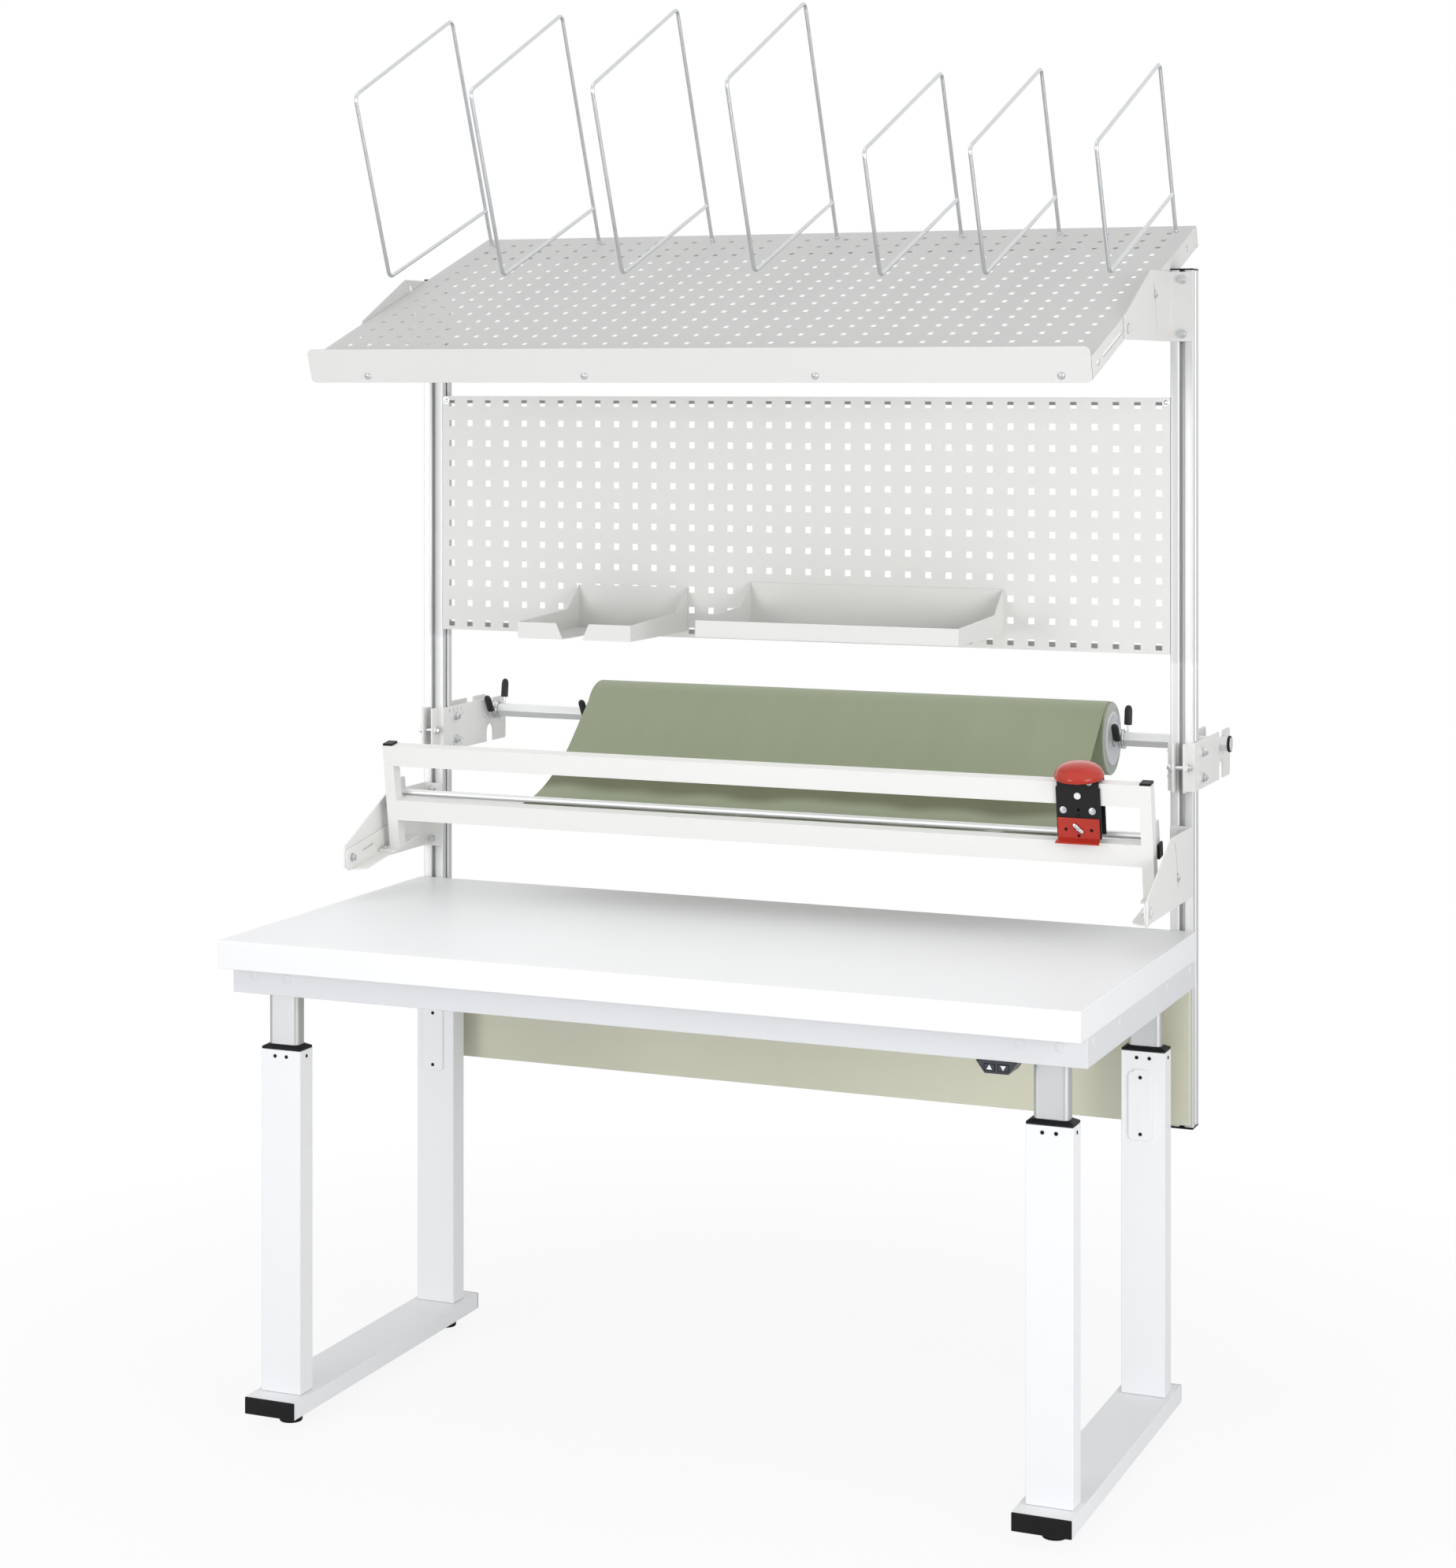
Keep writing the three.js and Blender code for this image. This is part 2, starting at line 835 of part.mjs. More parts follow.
// Tilt bracket: side plate with a pivot bolt and a curved slot, flange on the upright's front
function tiltBracket(name, sign, plateInner, bottom) {
  const front = bracketFace - bracketDepth;
  const z = bottom + pivotLift;
  const plate = outline([
    [front, bottom],
    [bracketFace, bottom],
    [bracketFace, bottom + bracketHigh],
    [bracketFace - bracketTopLength, bottom + bracketHigh],
    [front, bottom + bracketNoseHigh],
  ]);
  const half = lockRadius + runGap;
  plate.holes.push(arcSlot(pivotY, z, lockReach, slotLowAngle, slotHighAngle, half));
  const [x0, x1] = span(sign, plateInner, plateInner + bracketSheet);
  const [f0, f1] = span(sign, uprightInner, uprightOuter);
  const pinEnd = plateInner - runGap - armSheet - runGap;
  const headEnd = plateInner + bracketSheet + boltHeadThick;
  const body = join([
    extruded(plate, x0, x1, alongX),
    block(f0, f1, bracketFace - bracketSheet, bracketFace, bottom, bottom + bracketHigh),
    rod(pivotRadius, sign * pinEnd, sign * (plateInner + bracketSheet / 2), pivotY, z),
    rod(boltHeadRadius, sign * (plateInner + bracketSheet / 2), sign * headEnd, pivotY, z),
  ]);
  add(name, body, greyCoat);
}

// Locking screw that rides in a bracket's curved slot, in the frame of the part that tilts
function lockScrew(sign, inside, plateInner) {
  const outside = plateInner + bracketSheet + runGap;
  return [
    rod(lockRadius, sign * inside, sign * (outside + boltHeadThick / 2), lockReach, 0),
    rod(boltHeadRadius, sign * outside, sign * (outside + boltHeadThick), lockReach, 0),
  ];
}

// Carton shelf: everything here is in the frame of the tilting shelf, with y along the deck
const shelf = new THREE.Group();
shelf.position.set(0, pivotY, shelfPivotZ);
shelf.rotation.x = rad(shelfTilt);
table.add(shelf);

function shelfDeck() {
  const holeRadius = pivotRadius + runGap;
  const outer = block(-shelfHalf, shelfHalf, deckFront, shelfBehind, -flangeDrop, deckRise);
  const hollow = block(
    -shelfHalf + shelfSheet,
    shelfHalf - shelfSheet,
    deckFront + shelfSheet,
    shelfBehind - shelfSheet,
    -flangeDrop - cutOver,
    deckRise - shelfSheet,
  );
  const holes = [
    rod(holeRadius, -shelfHalf - cutOver, -shelfHalf + shelfSheet + cutOver, 0, 0),
    rod(holeRadius, shelfHalf - shelfSheet - cutOver, shelfHalf + cutOver, 0, 0),
  ];
  const plugs = [...tallDividerShares, ...lowDividerShares].map((share) =>
    standing(
      wireRadius + runGap + runGap,
      share * shelfHalf,
      dividerFootBehind,
      deckRise - shelfSheet - cutOver,
      deckRise + cutOver,
      8,
    ),
  );
  const screws = sides.flatMap(([, sign]) =>
    lockScrew(sign, shelfHalf - shelfSheet / 2, uprightInner),
  );
  shelf.add(meshOf("shelf_deck", join([cut(outer, [hollow, ...holes, ...plugs]), ...screws]), greyCoat));
}

function shelfLip() {
  const plate = roundedOutline(
    -flangeDrop - lipDrop,
    deckRise + lipRise,
    -shelfHalf,
    shelfHalf,
    lipRound,
  );
  const back = deckFront - seatGap;
  shelf.add(meshOf("shelf_lip", extruded(plate, back - lipSheet, back, alongY), greyCoat));
}

// Wire divider: rear post plugged into the deck, top bar, front leg and a bar back to the post
function divider(name, share, high, deep, fall) {
  const x = share * shelfHalf;
  const lean = rad(dividerLean);
  const post = (length) => [
    dividerFootBehind - length * Math.sin(lean),
    deckRise + length * Math.cos(lean),
  ];
  const foot = post(-dividerPlug);
  const rear = post(high);
  const junction = post(dividerBarRise);
  const topFall = rad(fall);
  const front = [rear[0] - deep * Math.cos(topFall), rear[1] - deep * Math.sin(topFall)];
  const barFall = Math.tan(rad(dividerBarFall));
  const drop = front[1] - junction[1] + (junction[0] - front[0]) * barFall;
  const legLength = drop / (Math.cos(lean) + Math.sin(lean) * barFall);
  const bottom = [front[0] + legLength * Math.sin(lean), front[1] - legLength * Math.cos(lean)];
  const toward = new THREE.Vector2(junction[0] - bottom[0], junction[1] - bottom[1]);
  const reach = (wireBend * 2) / toward.length();
  const turnEnd = [bottom[0] + toward.x * reach, bottom[1] + toward.y * reach];
  const overlapStart = wireBend * 1.4 / toward.length();
  const barStart = [bottom[0] + toward.x * overlapStart, bottom[1] + toward.y * overlapStart];
  const frame = wire(bentPath(x, [foot, rear, front, bottom, turnEnd], wireBend, 3), wireRadius, 6);
  const bar = wire(
    [new THREE.Vector3(x, ...barStart), new THREE.Vector3(x, ...junction)],
    wireRadius * 0.94,
    6,
  );
  shelf.add(meshOf(name, join([frame, bar]), zinc));
}

// Roll bracket: two plates clamped round the upright by three bolts, notched for the shaft
function rollBracket(side, sign) {
  const top = plateBottom + plateHigh;
  const nose = uprightFront - seatGap;
  const half = notchWide / 2;
  const seat = shaftZ - shaftFlats / 2 - seatGap;
  const lowSeat = plateBottom + (top - seat);
  const plate = new THREE.Shape();
  plate.moveTo(nose, plateBottom);
  plate.lineTo(shaftBehind - half, plateBottom);
  plate.lineTo(shaftBehind - half, lowSeat - half);
  plate.absarc(shaftBehind, lowSeat - half, half, Math.PI, 0, true);
  plate.lineTo(shaftBehind + half, plateBottom);
  plate.lineTo(plateRear, plateBottom);
  plate.lineTo(plateRear, top);
  plate.lineTo(shaftBehind + half, top);
  plate.lineTo(shaftBehind + half, seat);
  plate.lineTo(shaftBehind - half, seat);
  plate.lineTo(shaftBehind - half, top);
  plate.lineTo(nose, top);
  plate.closePath();
  const inner = uprightInner - seatGap;
  const outer = uprightOuter + seatGap;
  const innerSpan = span(sign, inner - plateSheet, inner);
  const outerSpan = span(sign, outer, outer + plateSheet);
  const innerNose = span(sign, inner - plateSheet, uprightInner + plateNose);
  const outerNose = span(sign, uprightOuter - plateNose, outer + plateSheet);
  const innerLug = span(sign, uprightInner + plateNose - plateSheet, uprightInner + plateNose);
  const outerLug = span(sign, uprightOuter - plateNose, uprightOuter - plateNose + plateSheet);
  const lugFront = nose - plateSheet - lugLength;
  const middle = (plateBottom + top) / 2;
  const rearBoltY = uprightRear + clampBoltRadius + seatGap;
  const head = plateSheet + boltHeadThick;
  const bolts = [-1, 1].flatMap((half0) => {
    const z = middle + half0 * clampBoltLift;
    return [
      rod(clampBoltRadius, sign * (inner - head), sign * (outer + head), rearBoltY, z),
      rod(boltHeadRadius, sign * (inner - head), sign * (inner - plateSheet / 2), rearBoltY, z, 6),
      rod(boltHeadRadius, sign * (outer + plateSheet / 2), sign * (outer + head), rearBoltY, z, 6),
    ];
  });
  const frontBoltY = nose - plateSheet - lugLength / 2;
  const lugInner = uprightInner + plateNose - head;
  const lugOuter = uprightOuter - plateNose + head;
  bolts.push(
    rod(clampBoltRadius, sign * lugInner, sign * lugOuter, frontBoltY, middle),
    rod(boltHeadRadius, sign * lugInner, sign * (lugInner + boltHeadThick), frontBoltY, middle, 6),
    rod(boltHeadRadius, sign * (lugOuter - boltHeadThick), sign * lugOuter, frontBoltY, middle, 6),
  );
  const body = join([
    extruded(plate, ...innerSpan, alongX),
    extruded(plate, ...outerSpan, alongX),
    block(...innerNose, nose - plateSheet, nose, plateBottom, top),
    block(...outerNose, nose - plateSheet, nose, plateBottom, top),
    block(...innerLug, lugFront, nose - plateSheet / 2, plateBottom, top),
    block(...outerLug, lugFront, nose - plateSheet / 2, plateBottom, top),
    ...bolts,
  ]);
  add(`roll_bracket_${side}`, body, greyCoat);
}

// Hexagonal shaft that rests in the brackets' notches, one flat down
function rollShaft() {
  const corners = [0, 1, 2, 3, 4, 5].map((k) => {
    const turn = (k * Math.PI) / 3;
    return [shaftBehind + shaftRadius * Math.cos(turn), shaftZ + shaftRadius * Math.sin(turn)];
  });
  add("roll_shaft", extruded(outline(corners), -shaftHalf, shaftHalf, alongX), anodised);
}

// Core tube with an end flange at each side, and the film wound on it
function filmRoll() {
  const bore = shaftRadius + runGap;
  const left = rollLeft - seatGap;
  const right = rollRight + seatGap;
  const core = [
    [left - coreFlangeThick, bore],
    [left + corePlug, bore],
    [left + corePlug, coreRadius - coreWall],
    [right - corePlug, coreRadius - coreWall],
    [right - corePlug, bore],
    [right + coreFlangeThick, bore],
    [right + coreFlangeThick, coreFlangeRadius],
    [right, coreFlangeRadius],
    [right, coreRadius],
    [left, coreRadius],
    [left, coreFlangeRadius],
    [left - coreFlangeThick, coreFlangeRadius],
  ];
  add("roll_core", turned(core, shaftBehind, shaftZ, rollSides / 2), whitePlastic);
  const wound = [
    [rollLeft, coreRadius + runGap],
    [rollRight, coreRadius + runGap],
    [rollRight, rollRadius],
    [rollLeft, rollRadius],
  ];
  add("film_roll", turned(wound, shaftBehind, shaftZ, rollSides), film);
}

// Least distance between a coil's centre line and the same line one turn further on
function leastGap(points, stepsPerTurn) {
  let least = Infinity;
  const nearest = new THREE.Vector3();
  for (let i = 0; i < points.length; i += 1) {
    for (let k = i + stepsPerTurn / 2; k + 1 < points.length; k += 1) {
      new THREE.Line3(points[k], points[k + 1]).closestPointToPoint(points[i], true, nearest);
      least = Math.min(least, nearest.distanceTo(points[i]));
    }
  }
  return least;
}

// Spring collar: a coil on the shaft whose two ends rise into gripped handles
function springCollar(name, middle) {
  const coil = (shaftRadius + springWire + springClearance) / Math.cos(Math.PI / springSteps);
  const steps = Math.round(springTurns * springSteps);
  const long = springTurns * springPitch;
  const turns = springTurns * 2 * Math.PI;
  const around = (angle, reach, x) =>
    new THREE.Vector3(
      x,
      shaftBehind + reach * Math.cos(angle),
      shaftZ + reach * Math.sin(angle),
    );
  const start = rad(springStart);
  const points = [];
  for (let i = 0; i <= steps; i += 1) {
    const t = i / steps;
    points.push(around(start + turns * t, coil, middle - long / 2 + long * t));
  }
  const tail = (angle, way) => {
    const tangent = new THREE.Vector3(0, -Math.sin(angle), Math.cos(angle)).multiplyScalar(way);
    const outward = new THREE.Vector3(0, Math.cos(angle), Math.sin(angle));
    return tangent.addScaledVector(outward, tailSplay).normalize();
  };
  const lead = tail(start, -1);
  const follow = tail(start + turns, 1);
  const first = points[0].clone().addScaledVector(lead, frontTail);
  const last = points[points.length - 1].clone().addScaledVector(follow, rearTail);
  const spring = wire([first, ...points, last], springWire, springSides);
  const gap = leastGap(points, springSteps) - 2 * springWire;
  console.log(`${name}: least gap between neighbouring turns ${gap.toFixed(2)} mm`);
  const grip = (from, way) => {
    const cap = gripRadius * 0.55;
    const stations = [
      [-cap * 0.4, gripRadius * 0.6],
      [0, gripRadius],
      [gripLength - cap, gripRadius],
      [gripLength - cap * 0.3, gripRadius * 0.7],
      [gripLength, gripRadius * 0.25],
    ];
    const section = [
      [0, -cap * 0.4],
      ...stations.map(([along, radius]) => [radius, along]),
      [0, gripLength],
    ];
    const geometry = new THREE.LatheGeometry(
      section.map(([radius, along]) => new THREE.Vector2(radius, along)),
      gripSides,
    );
    const turn = new THREE.Quaternion().setFromUnitVectors(yAxis, way);
    geometry.applyQuaternion(turn);
    const seat = from.clone().addScaledVector(way, -gripRadius);
    geometry.translate(seat.x, seat.y, seat.z);
    return solidOf(geometry);
  };
  add(name, join([spring, grip(first, lead), grip(last, follow)]), zinc);
}

// Film cutter: everything here is in the frame of the tilting cutter, with y along its arms
const cutter = new THREE.Group();
cutter.position.set(0, pivotY, cutterPivotZ);
cutter.rotation.x = rad(cutterLean);
table.add(cutter);

function cutterFrame() {
  const foot = armFloor + seatGap;
  const inner = cutterHalf - postWide;
  const bars = [
    block(-cutterHalf, cutterHalf, postAhead, postRear, postTop - topBarHigh, postTop),
    block(-cutterHalf, cutterHalf, postAhead, postRear, lowBarRise, lowBarRise + lowBarHigh),
  ];
  const posts = sides.flatMap(([, sign]) => {
    const post = span(sign, inner, cutterHalf);
    const plate = span(sign, inner, inner + footPlateWide);
    return [
      block(...post, postAhead, postRear, foot, postTop),
      block(...plate, postAhead - footPlateLead, postRear, foot, foot + footPlateThick),
    ];
  });
  const wall = tubeWall;
  const inside = (from, to, z0, z1) =>
    block(from, to, postAhead + wall, postRear - wall, z0, z1);
  const end = cutterHalf - wall;
  const hollows = [
    inside(-end, end, postTop - topBarHigh + wall, postTop - wall),
    inside(-end, end, lowBarRise + wall, lowBarRise + lowBarHigh - wall),
    inside(inner + wall, end, foot + footPlateThick, postTop + cutOver),
    inside(-end, -inner - wall, foot + footPlateThick, postTop + cutOver),
  ];
  cutter.add(meshOf("cutter_frame", cut(join([...bars, ...posts]), hollows), greyCoat));
}

function tiltArm(side, sign) {
  const [x0, x1] = span(sign, armOuter - armSheet, armOuter);
  const [f0, f1] = span(sign, armOuter - armFlange, armOuter);
  const end = armLength - armNose;
  const web = block(x0, x1, -armNose, end, -armDrop, armRise);
  const flange = block(f0, f1, armNose, end, -armDrop, armFloor);
  const hole = rod(pivotRadius + runGap, x0 - cutOver, x1 + cutOver, 0, 0);
  const screw = lockScrew(sign, armOuter - armSheet / 2, uprightOuter - bracketSheet);
  cutter.add(meshOf(`tilt_arm_${side}`, join([cut(join([web, flange]), [hole]), ...screw]), greyCoat));
}

function cutterRail() {
  const front = postRear + seatGap;
  const bottom = cutRailTop - cutRailSize;
  const grooveY = front + cutRailSize / 3;
  const section = outline([
    [front, bottom],
    [front + cutRailSize, bottom],
    [front + cutRailSize, cutRailTop],
    [grooveY + cutGroove / 2, cutRailTop],
    [grooveY + cutGroove / 2, cutRailTop - cutGroove],
    [grooveY - cutGroove / 2, cutRailTop - cutGroove],
    [grooveY - cutGroove / 2, cutRailTop],
    [front, cutRailTop],
  ]);
  cutter.add(meshOf("cutter_rail", extruded(section, -cutterHalf, cutterHalf, alongX), anodised));
}

const barY = postRear + barBehind;
const barZ = cutRailTop + barGap + barRadius;

function holdDownBar() {
  const end = cutterHalf - seatGap;
  const front = postRear + seatGap;
  const bottom = cutRailTop + seatGap;
  const blocks = sides.map(([, sign]) => {
    const [x0, x1] = span(sign, end - barEndWide, end);
    return block(x0, x1, front, front + barEndDeep, bottom, bottom + barEndHigh);
  });
  const bar = rod(barRadius, -end + barEndWide / 2, end - barEndWide / 2, barY, barZ);
  cutter.add(meshOf("hold_down_bar", join([bar, ...blocks]), anodised));
}

const frontPlateRear = postAhead - runGap;
const rearPlateFront = postRear + runGap;
const saddleBottom = postTop + runGap;
const saddleTop = saddleBottom + headSheet;

// Carriage that slides on the top bar, with the blade that runs in the rail's groove
function cutterCarriage() {
  const half = headWide / 2;
  const x0 = headPlace - half;
  const x1 = headPlace + half;
  const front = frontPlateRear - headSheet;
  const rear = rearPlateFront + headSheet;
  const holder = bladeHolderWide / 2;
  const bladeY = postRear + seatGap + cutRailSize / 3 - bladeSheet / 2;
  const pieces = [
    block(x0, x1, front, frontPlateRear, saddleTop - headDrop - headSheet, saddleTop),
    block(x0, x1, front, rear, saddleBottom, saddleTop),
    block(x0, x1, rearPlateFront, rear, saddleTop - rearDrop, saddleTop),
    block(
      headPlace - holder,
      headPlace + holder,
      front,
      bladeY + bladeSheet,
      bladeHolderFoot,
      bladeHolderTop,
    ),
    block(
      headPlace - bladeWide / 2,
      headPlace + bladeWide / 2,
      bladeY,
      bladeY + bladeSheet,
      cutRailTop + runGap,
      bladeHolderTop,
    ),
  ];
  cutter.add(meshOf("cutter_carriage", join(pieces), blackCoat));
}

// Red guard plate under the carriage's front plate, with a toe bent forward
function bladeGuard() {
  const rear = frontPlateRear - headSheet - seatGap;
  const front = rear - guardSheet;
  const half = guardWide / 2;
  const section = outline([
    [rear, guardFoot],
    [rear, guardTop],
    [front, guardTop],
    [front, guardFoot + guardSheet],
    [front - guardToe, guardFoot + guardSheet - guardToeDrop],
    [front - guardToe, guardFoot - guardToeDrop],
  ]);
  const plate = extruded(section, headPlace - half, headPlace + half, alongX);
  cutter.add(meshOf("blade_guard", plate, redCoat));
}

function cutterKnob() {
  const y = (postAhead + postRear) / 2 - headSheet;
  const base = saddleTop + seatGap;
  const section = [
    [0, 0],
    [knobRadius - knobRim / 3, 0],
    [knobRadius, knobRim / 3],
    [knobRadius, knobRim],
    [knobRadius * 0.9, knobHigh * 0.64],
    [knobRadius * 0.66, knobHigh * 0.86],
    [knobRadius * 0.34, knobHigh * 0.97],
    [0, knobHigh],
  ];
  const geometry = new THREE.LatheGeometry(
    section.map(([radius, along]) => new THREE.Vector2(radius, along)),
    knobSides,
  );
  geometry.rotateX(Math.PI / 2);
  geometry.translate(headPlace, y, base);
  cutter.add(meshOf("cutter_knob", solidOf(geometry), redCoat));
}

// Web of film: off the roll, down in a slack curve, and flat between the rail and the bar
function filmWeb() {
  const tilt = rad(cutterLean);
  const fromCutter = (y, z) => [
    pivotY + y * Math.cos(tilt) - z * Math.sin(tilt),
    cutterPivotZ + y * Math.sin(tilt) + z * Math.cos(tilt),
  ];
  const half = webThick / 2;
  const lay = cutRailTop + barGap / 2;
  const reach = rollRadius + runGap + half;
  const wrap = [];
  for (let i = 0; i <= webWrapSteps; i += 1) {
    const angle = rad(webLeaveAngle - webWrapAngle * (1 - i / webWrapSteps));
    wrap.push([shaftBehind + reach * Math.cos(angle), shaftZ + reach * Math.sin(angle)]);
  }
  const start = wrap[webWrapSteps];
  const railRear = postRear + seatGap + cutRailSize;
  const entry = fromCutter(railRear, lay);
  const end = fromCutter(barY - barRadius - seatGap, lay);
  const between = webSagShares.map(([across, down]) => [
    start[0] + (entry[0] - start[0]) * across,
    start[1] + (entry[1] - start[1]) * down,
  ]);
  const knots = [...wrap, ...between, entry, end].map(([y, z]) => new THREE.Vector3(0, y, z));
  const route = new THREE.CatmullRomCurve3(knots, false, "centripetal");
  const points = route.getPoints(3 * (knots.length - 1));
  const upper = [];
  const lower = [];
  points.forEach((point, i) => {
    const a = points[Math.max(i - 1, 0)];
    const b = points[Math.min(i + 1, points.length - 1)];
    const along = b.clone().sub(a).normalize();
    upper.push([point.y + along.z * half, point.z - along.y * half]);
    lower.push([point.y - along.z * half, point.z + along.y * half]);
  });
  const sheet = outline([...upper, ...lower.reverse()]);
  const body = extruded(sheet, rollLeft + webMargin, rollRight - webMargin, alongX);
  add("film_web", body, film);
}

worktop();
underFrame();
sides.forEach(([side, sign]) => {
  baseRail(side, sign);
  ["front", "rear"].forEach((end) => {
    levellingFoot(side, sign, end);
    leg(side, sign, end);
  });
  upright(side, sign);
  tiltBracket(`shelf_bracket_${side}`, sign, uprightInner, shelfBracketBottom);
  tiltBracket(`cutter_bracket_${side}`, sign, uprightOuter - bracketSheet, cutterBracketBottom);
  rollBracket(side, sign);
  tiltArm(side, sign);
});
controlBox();
handSwitch();
lowerPanel();
perforatedPanel();
tray("large_tray", largeTrayLeft, largeTrayWidth, largeTrayBottom, false);
tray("small_tray", smallTrayLeft, smallTrayWidth, smallTrayBottom, true);
shelfDeck();
shelfLip();
tallDividerShares.forEach((share, i) =>
  divider(`divider_${i + 1}`, share, tallDividerHigh, tallDividerDeep, tallDividerFall),
);
lowDividerShares.forEach((share, i) => {
  const number = tallDividerShares.length + i + 1;
  divider(`divider_${number}`, share, lowDividerHigh, lowDividerDeep, lowDividerFall);
});
rollShaft();
filmRoll();
springCollar("spring_collar_bracket", bracketCollarGap - uprightInner);
springCollar("spring_collar_roll_left", rollLeft - collarGap);
springCollar("spring_collar_roll_right", rollRight + collarGap);
filmWeb();
cutterFrame();
cutterRail();
holdDownBar();
cutterCarriage();
bladeGuard();
cutterKnob();

// The origin is on the floor, in the middle of the table's plan
table.position.y = -plateRear / 2;
const part = new THREE.Group();
part.add(table);

export default part;
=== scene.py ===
# Height-adjustable packing table: the looks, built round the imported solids. Metres, +Z up.
import math

import bpy
from mathutils import Matrix, Vector


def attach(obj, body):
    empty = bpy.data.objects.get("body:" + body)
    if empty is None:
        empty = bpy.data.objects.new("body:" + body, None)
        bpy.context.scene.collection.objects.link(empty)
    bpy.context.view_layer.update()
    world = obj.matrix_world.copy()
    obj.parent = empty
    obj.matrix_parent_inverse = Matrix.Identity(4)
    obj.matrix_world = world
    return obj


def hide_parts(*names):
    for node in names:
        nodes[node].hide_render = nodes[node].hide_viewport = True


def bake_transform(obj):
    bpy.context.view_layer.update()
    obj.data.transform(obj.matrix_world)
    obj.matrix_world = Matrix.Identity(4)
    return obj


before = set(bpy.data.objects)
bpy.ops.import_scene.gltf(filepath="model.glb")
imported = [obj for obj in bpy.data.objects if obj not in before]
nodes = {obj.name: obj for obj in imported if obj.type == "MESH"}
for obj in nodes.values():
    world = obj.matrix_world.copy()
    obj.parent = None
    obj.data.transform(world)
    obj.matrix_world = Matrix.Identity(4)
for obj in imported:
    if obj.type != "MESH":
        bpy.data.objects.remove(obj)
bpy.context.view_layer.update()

# Sizes shared with the solids
top_half = 0.75
mid_plan = 0.51
clearance = 0.0003
profile = 0.04
upright_outer = 0.744
upright_inner = upright_outer - profile
upright_front = 0.7503
upright_rear = upright_front + profile
upright_foot = 0.501
upright_head = 1.979
bracket_sheet = 0.003
bracket_face = 0.747
pivot_deep = 0.452
lock_deep = 0.19
shelf_pivot_high = 1.874
cutter_pivot_high = 0.918
shelf_tilt = math.radians(18.5)
cutter_lean = math.radians(9)
shelf_half = 0.7035
shelf_ahead = 0.225
shelf_behind = 0.53
deck_rise = 0.024
flange_drop = 0.014
shaft_deep = 0.95
shaft_high = 1.142
roll_left = -0.463
roll_right = 0.549
roll_radius = 0.066
cutter_half = 0.722
post_ahead = 0.117
post_rear = 0.142
post_top = 0.179
rail_top = 0.071
head_place = 0.598
head_plate = 0.004
leg_middle = 0.677
leg_top = 0.643
foot_middle = 0.676
base_inner = 0.628
base_outer = 0.724
board_foot = 1.3145
board_head = 1.759
hole_pitch = 0.038
sides = (("left", -1), ("right", 1))

# The frames that pieces are modelled in: a tilting body's own, or the table's
table_place = Matrix.Translation((0, -mid_plan, 0))
shelf_place = Matrix.Translation((0, pivot_deep - mid_plan, shelf_pivot_high))
shelf_place @= Matrix.Rotation(shelf_tilt, 4, "X")
cutter_place = Matrix.Translation((0, pivot_deep - mid_plan, cutter_pivot_high))
cutter_place @= Matrix.Rotation(cutter_lean, 4, "X")
tilted = {"shelf": shelf_place, "cutter": cutter_place, "cutter_head": cutter_place}


# Camera and lights
def set_camera():
    bpy.ops.object.camera_add(
        location=(2.00043, -5.08813, 1.79005),
        rotation=(math.radians(90), 0, math.radians(23.72)),
    )
    camera = bpy.context.object
    camera.data.sensor_width = 36
    camera.data.lens = 71.747
    camera.data.shift_x = 0.07097
    camera.data.shift_y = -0.25785
    camera.data.clip_end = 60
    bpy.context.scene.camera = camera


def soft_light(name, place, target, size, power):
    bpy.ops.object.light_add(type="AREA", location=place)
    lamp = bpy.context.object
    lamp.name = name
    lamp.data.shape = "DISK"
    lamp.data.size = size
    lamp.data.energy = power
    aim = Vector(target) - Vector(place)
    lamp.rotation_euler = aim.to_track_quat("-Z", "Y").to_euler()
    lamp.visible_camera = False


# Shader sums as plain expressions
class Socket:
    def __init__(self, owner, socket):
        self.owner = owner
        self.socket = socket

    def math(self, operation, other):
        return self.owner.node("ShaderNodeMath", {"operation": operation}, {0: self, 1: other})

    def __add__(self, other):
        return self.math("ADD", other)

    def __sub__(self, other):
        return self.math("SUBTRACT", other)

    def __mul__(self, other):
        return self.math("MULTIPLY", other)

    def __rsub__(self, other):
        return self.owner.node("ShaderNodeMath", {"operation": "SUBTRACT"}, {0: other, 1: self})

    __radd__ = __add__
    __rmul__ = __mul__


class Nodes:
    """A node tree: node() adds one node with its settings, values and links."""

    def __init__(self, tree):
        self.tree = tree

    def node(self, kind, settings, values, output=0):
        made = self.tree.nodes.new(kind)
        for name, value in settings.items():
            setattr(made, name, value)
        for key, value in values.items():
            if isinstance(value, Socket):
                self.tree.links.new(value.socket, made.inputs[key])
            else:
                made.inputs[key].default_value = value
        return Socket(self, made.outputs[output]) if made.outputs else None


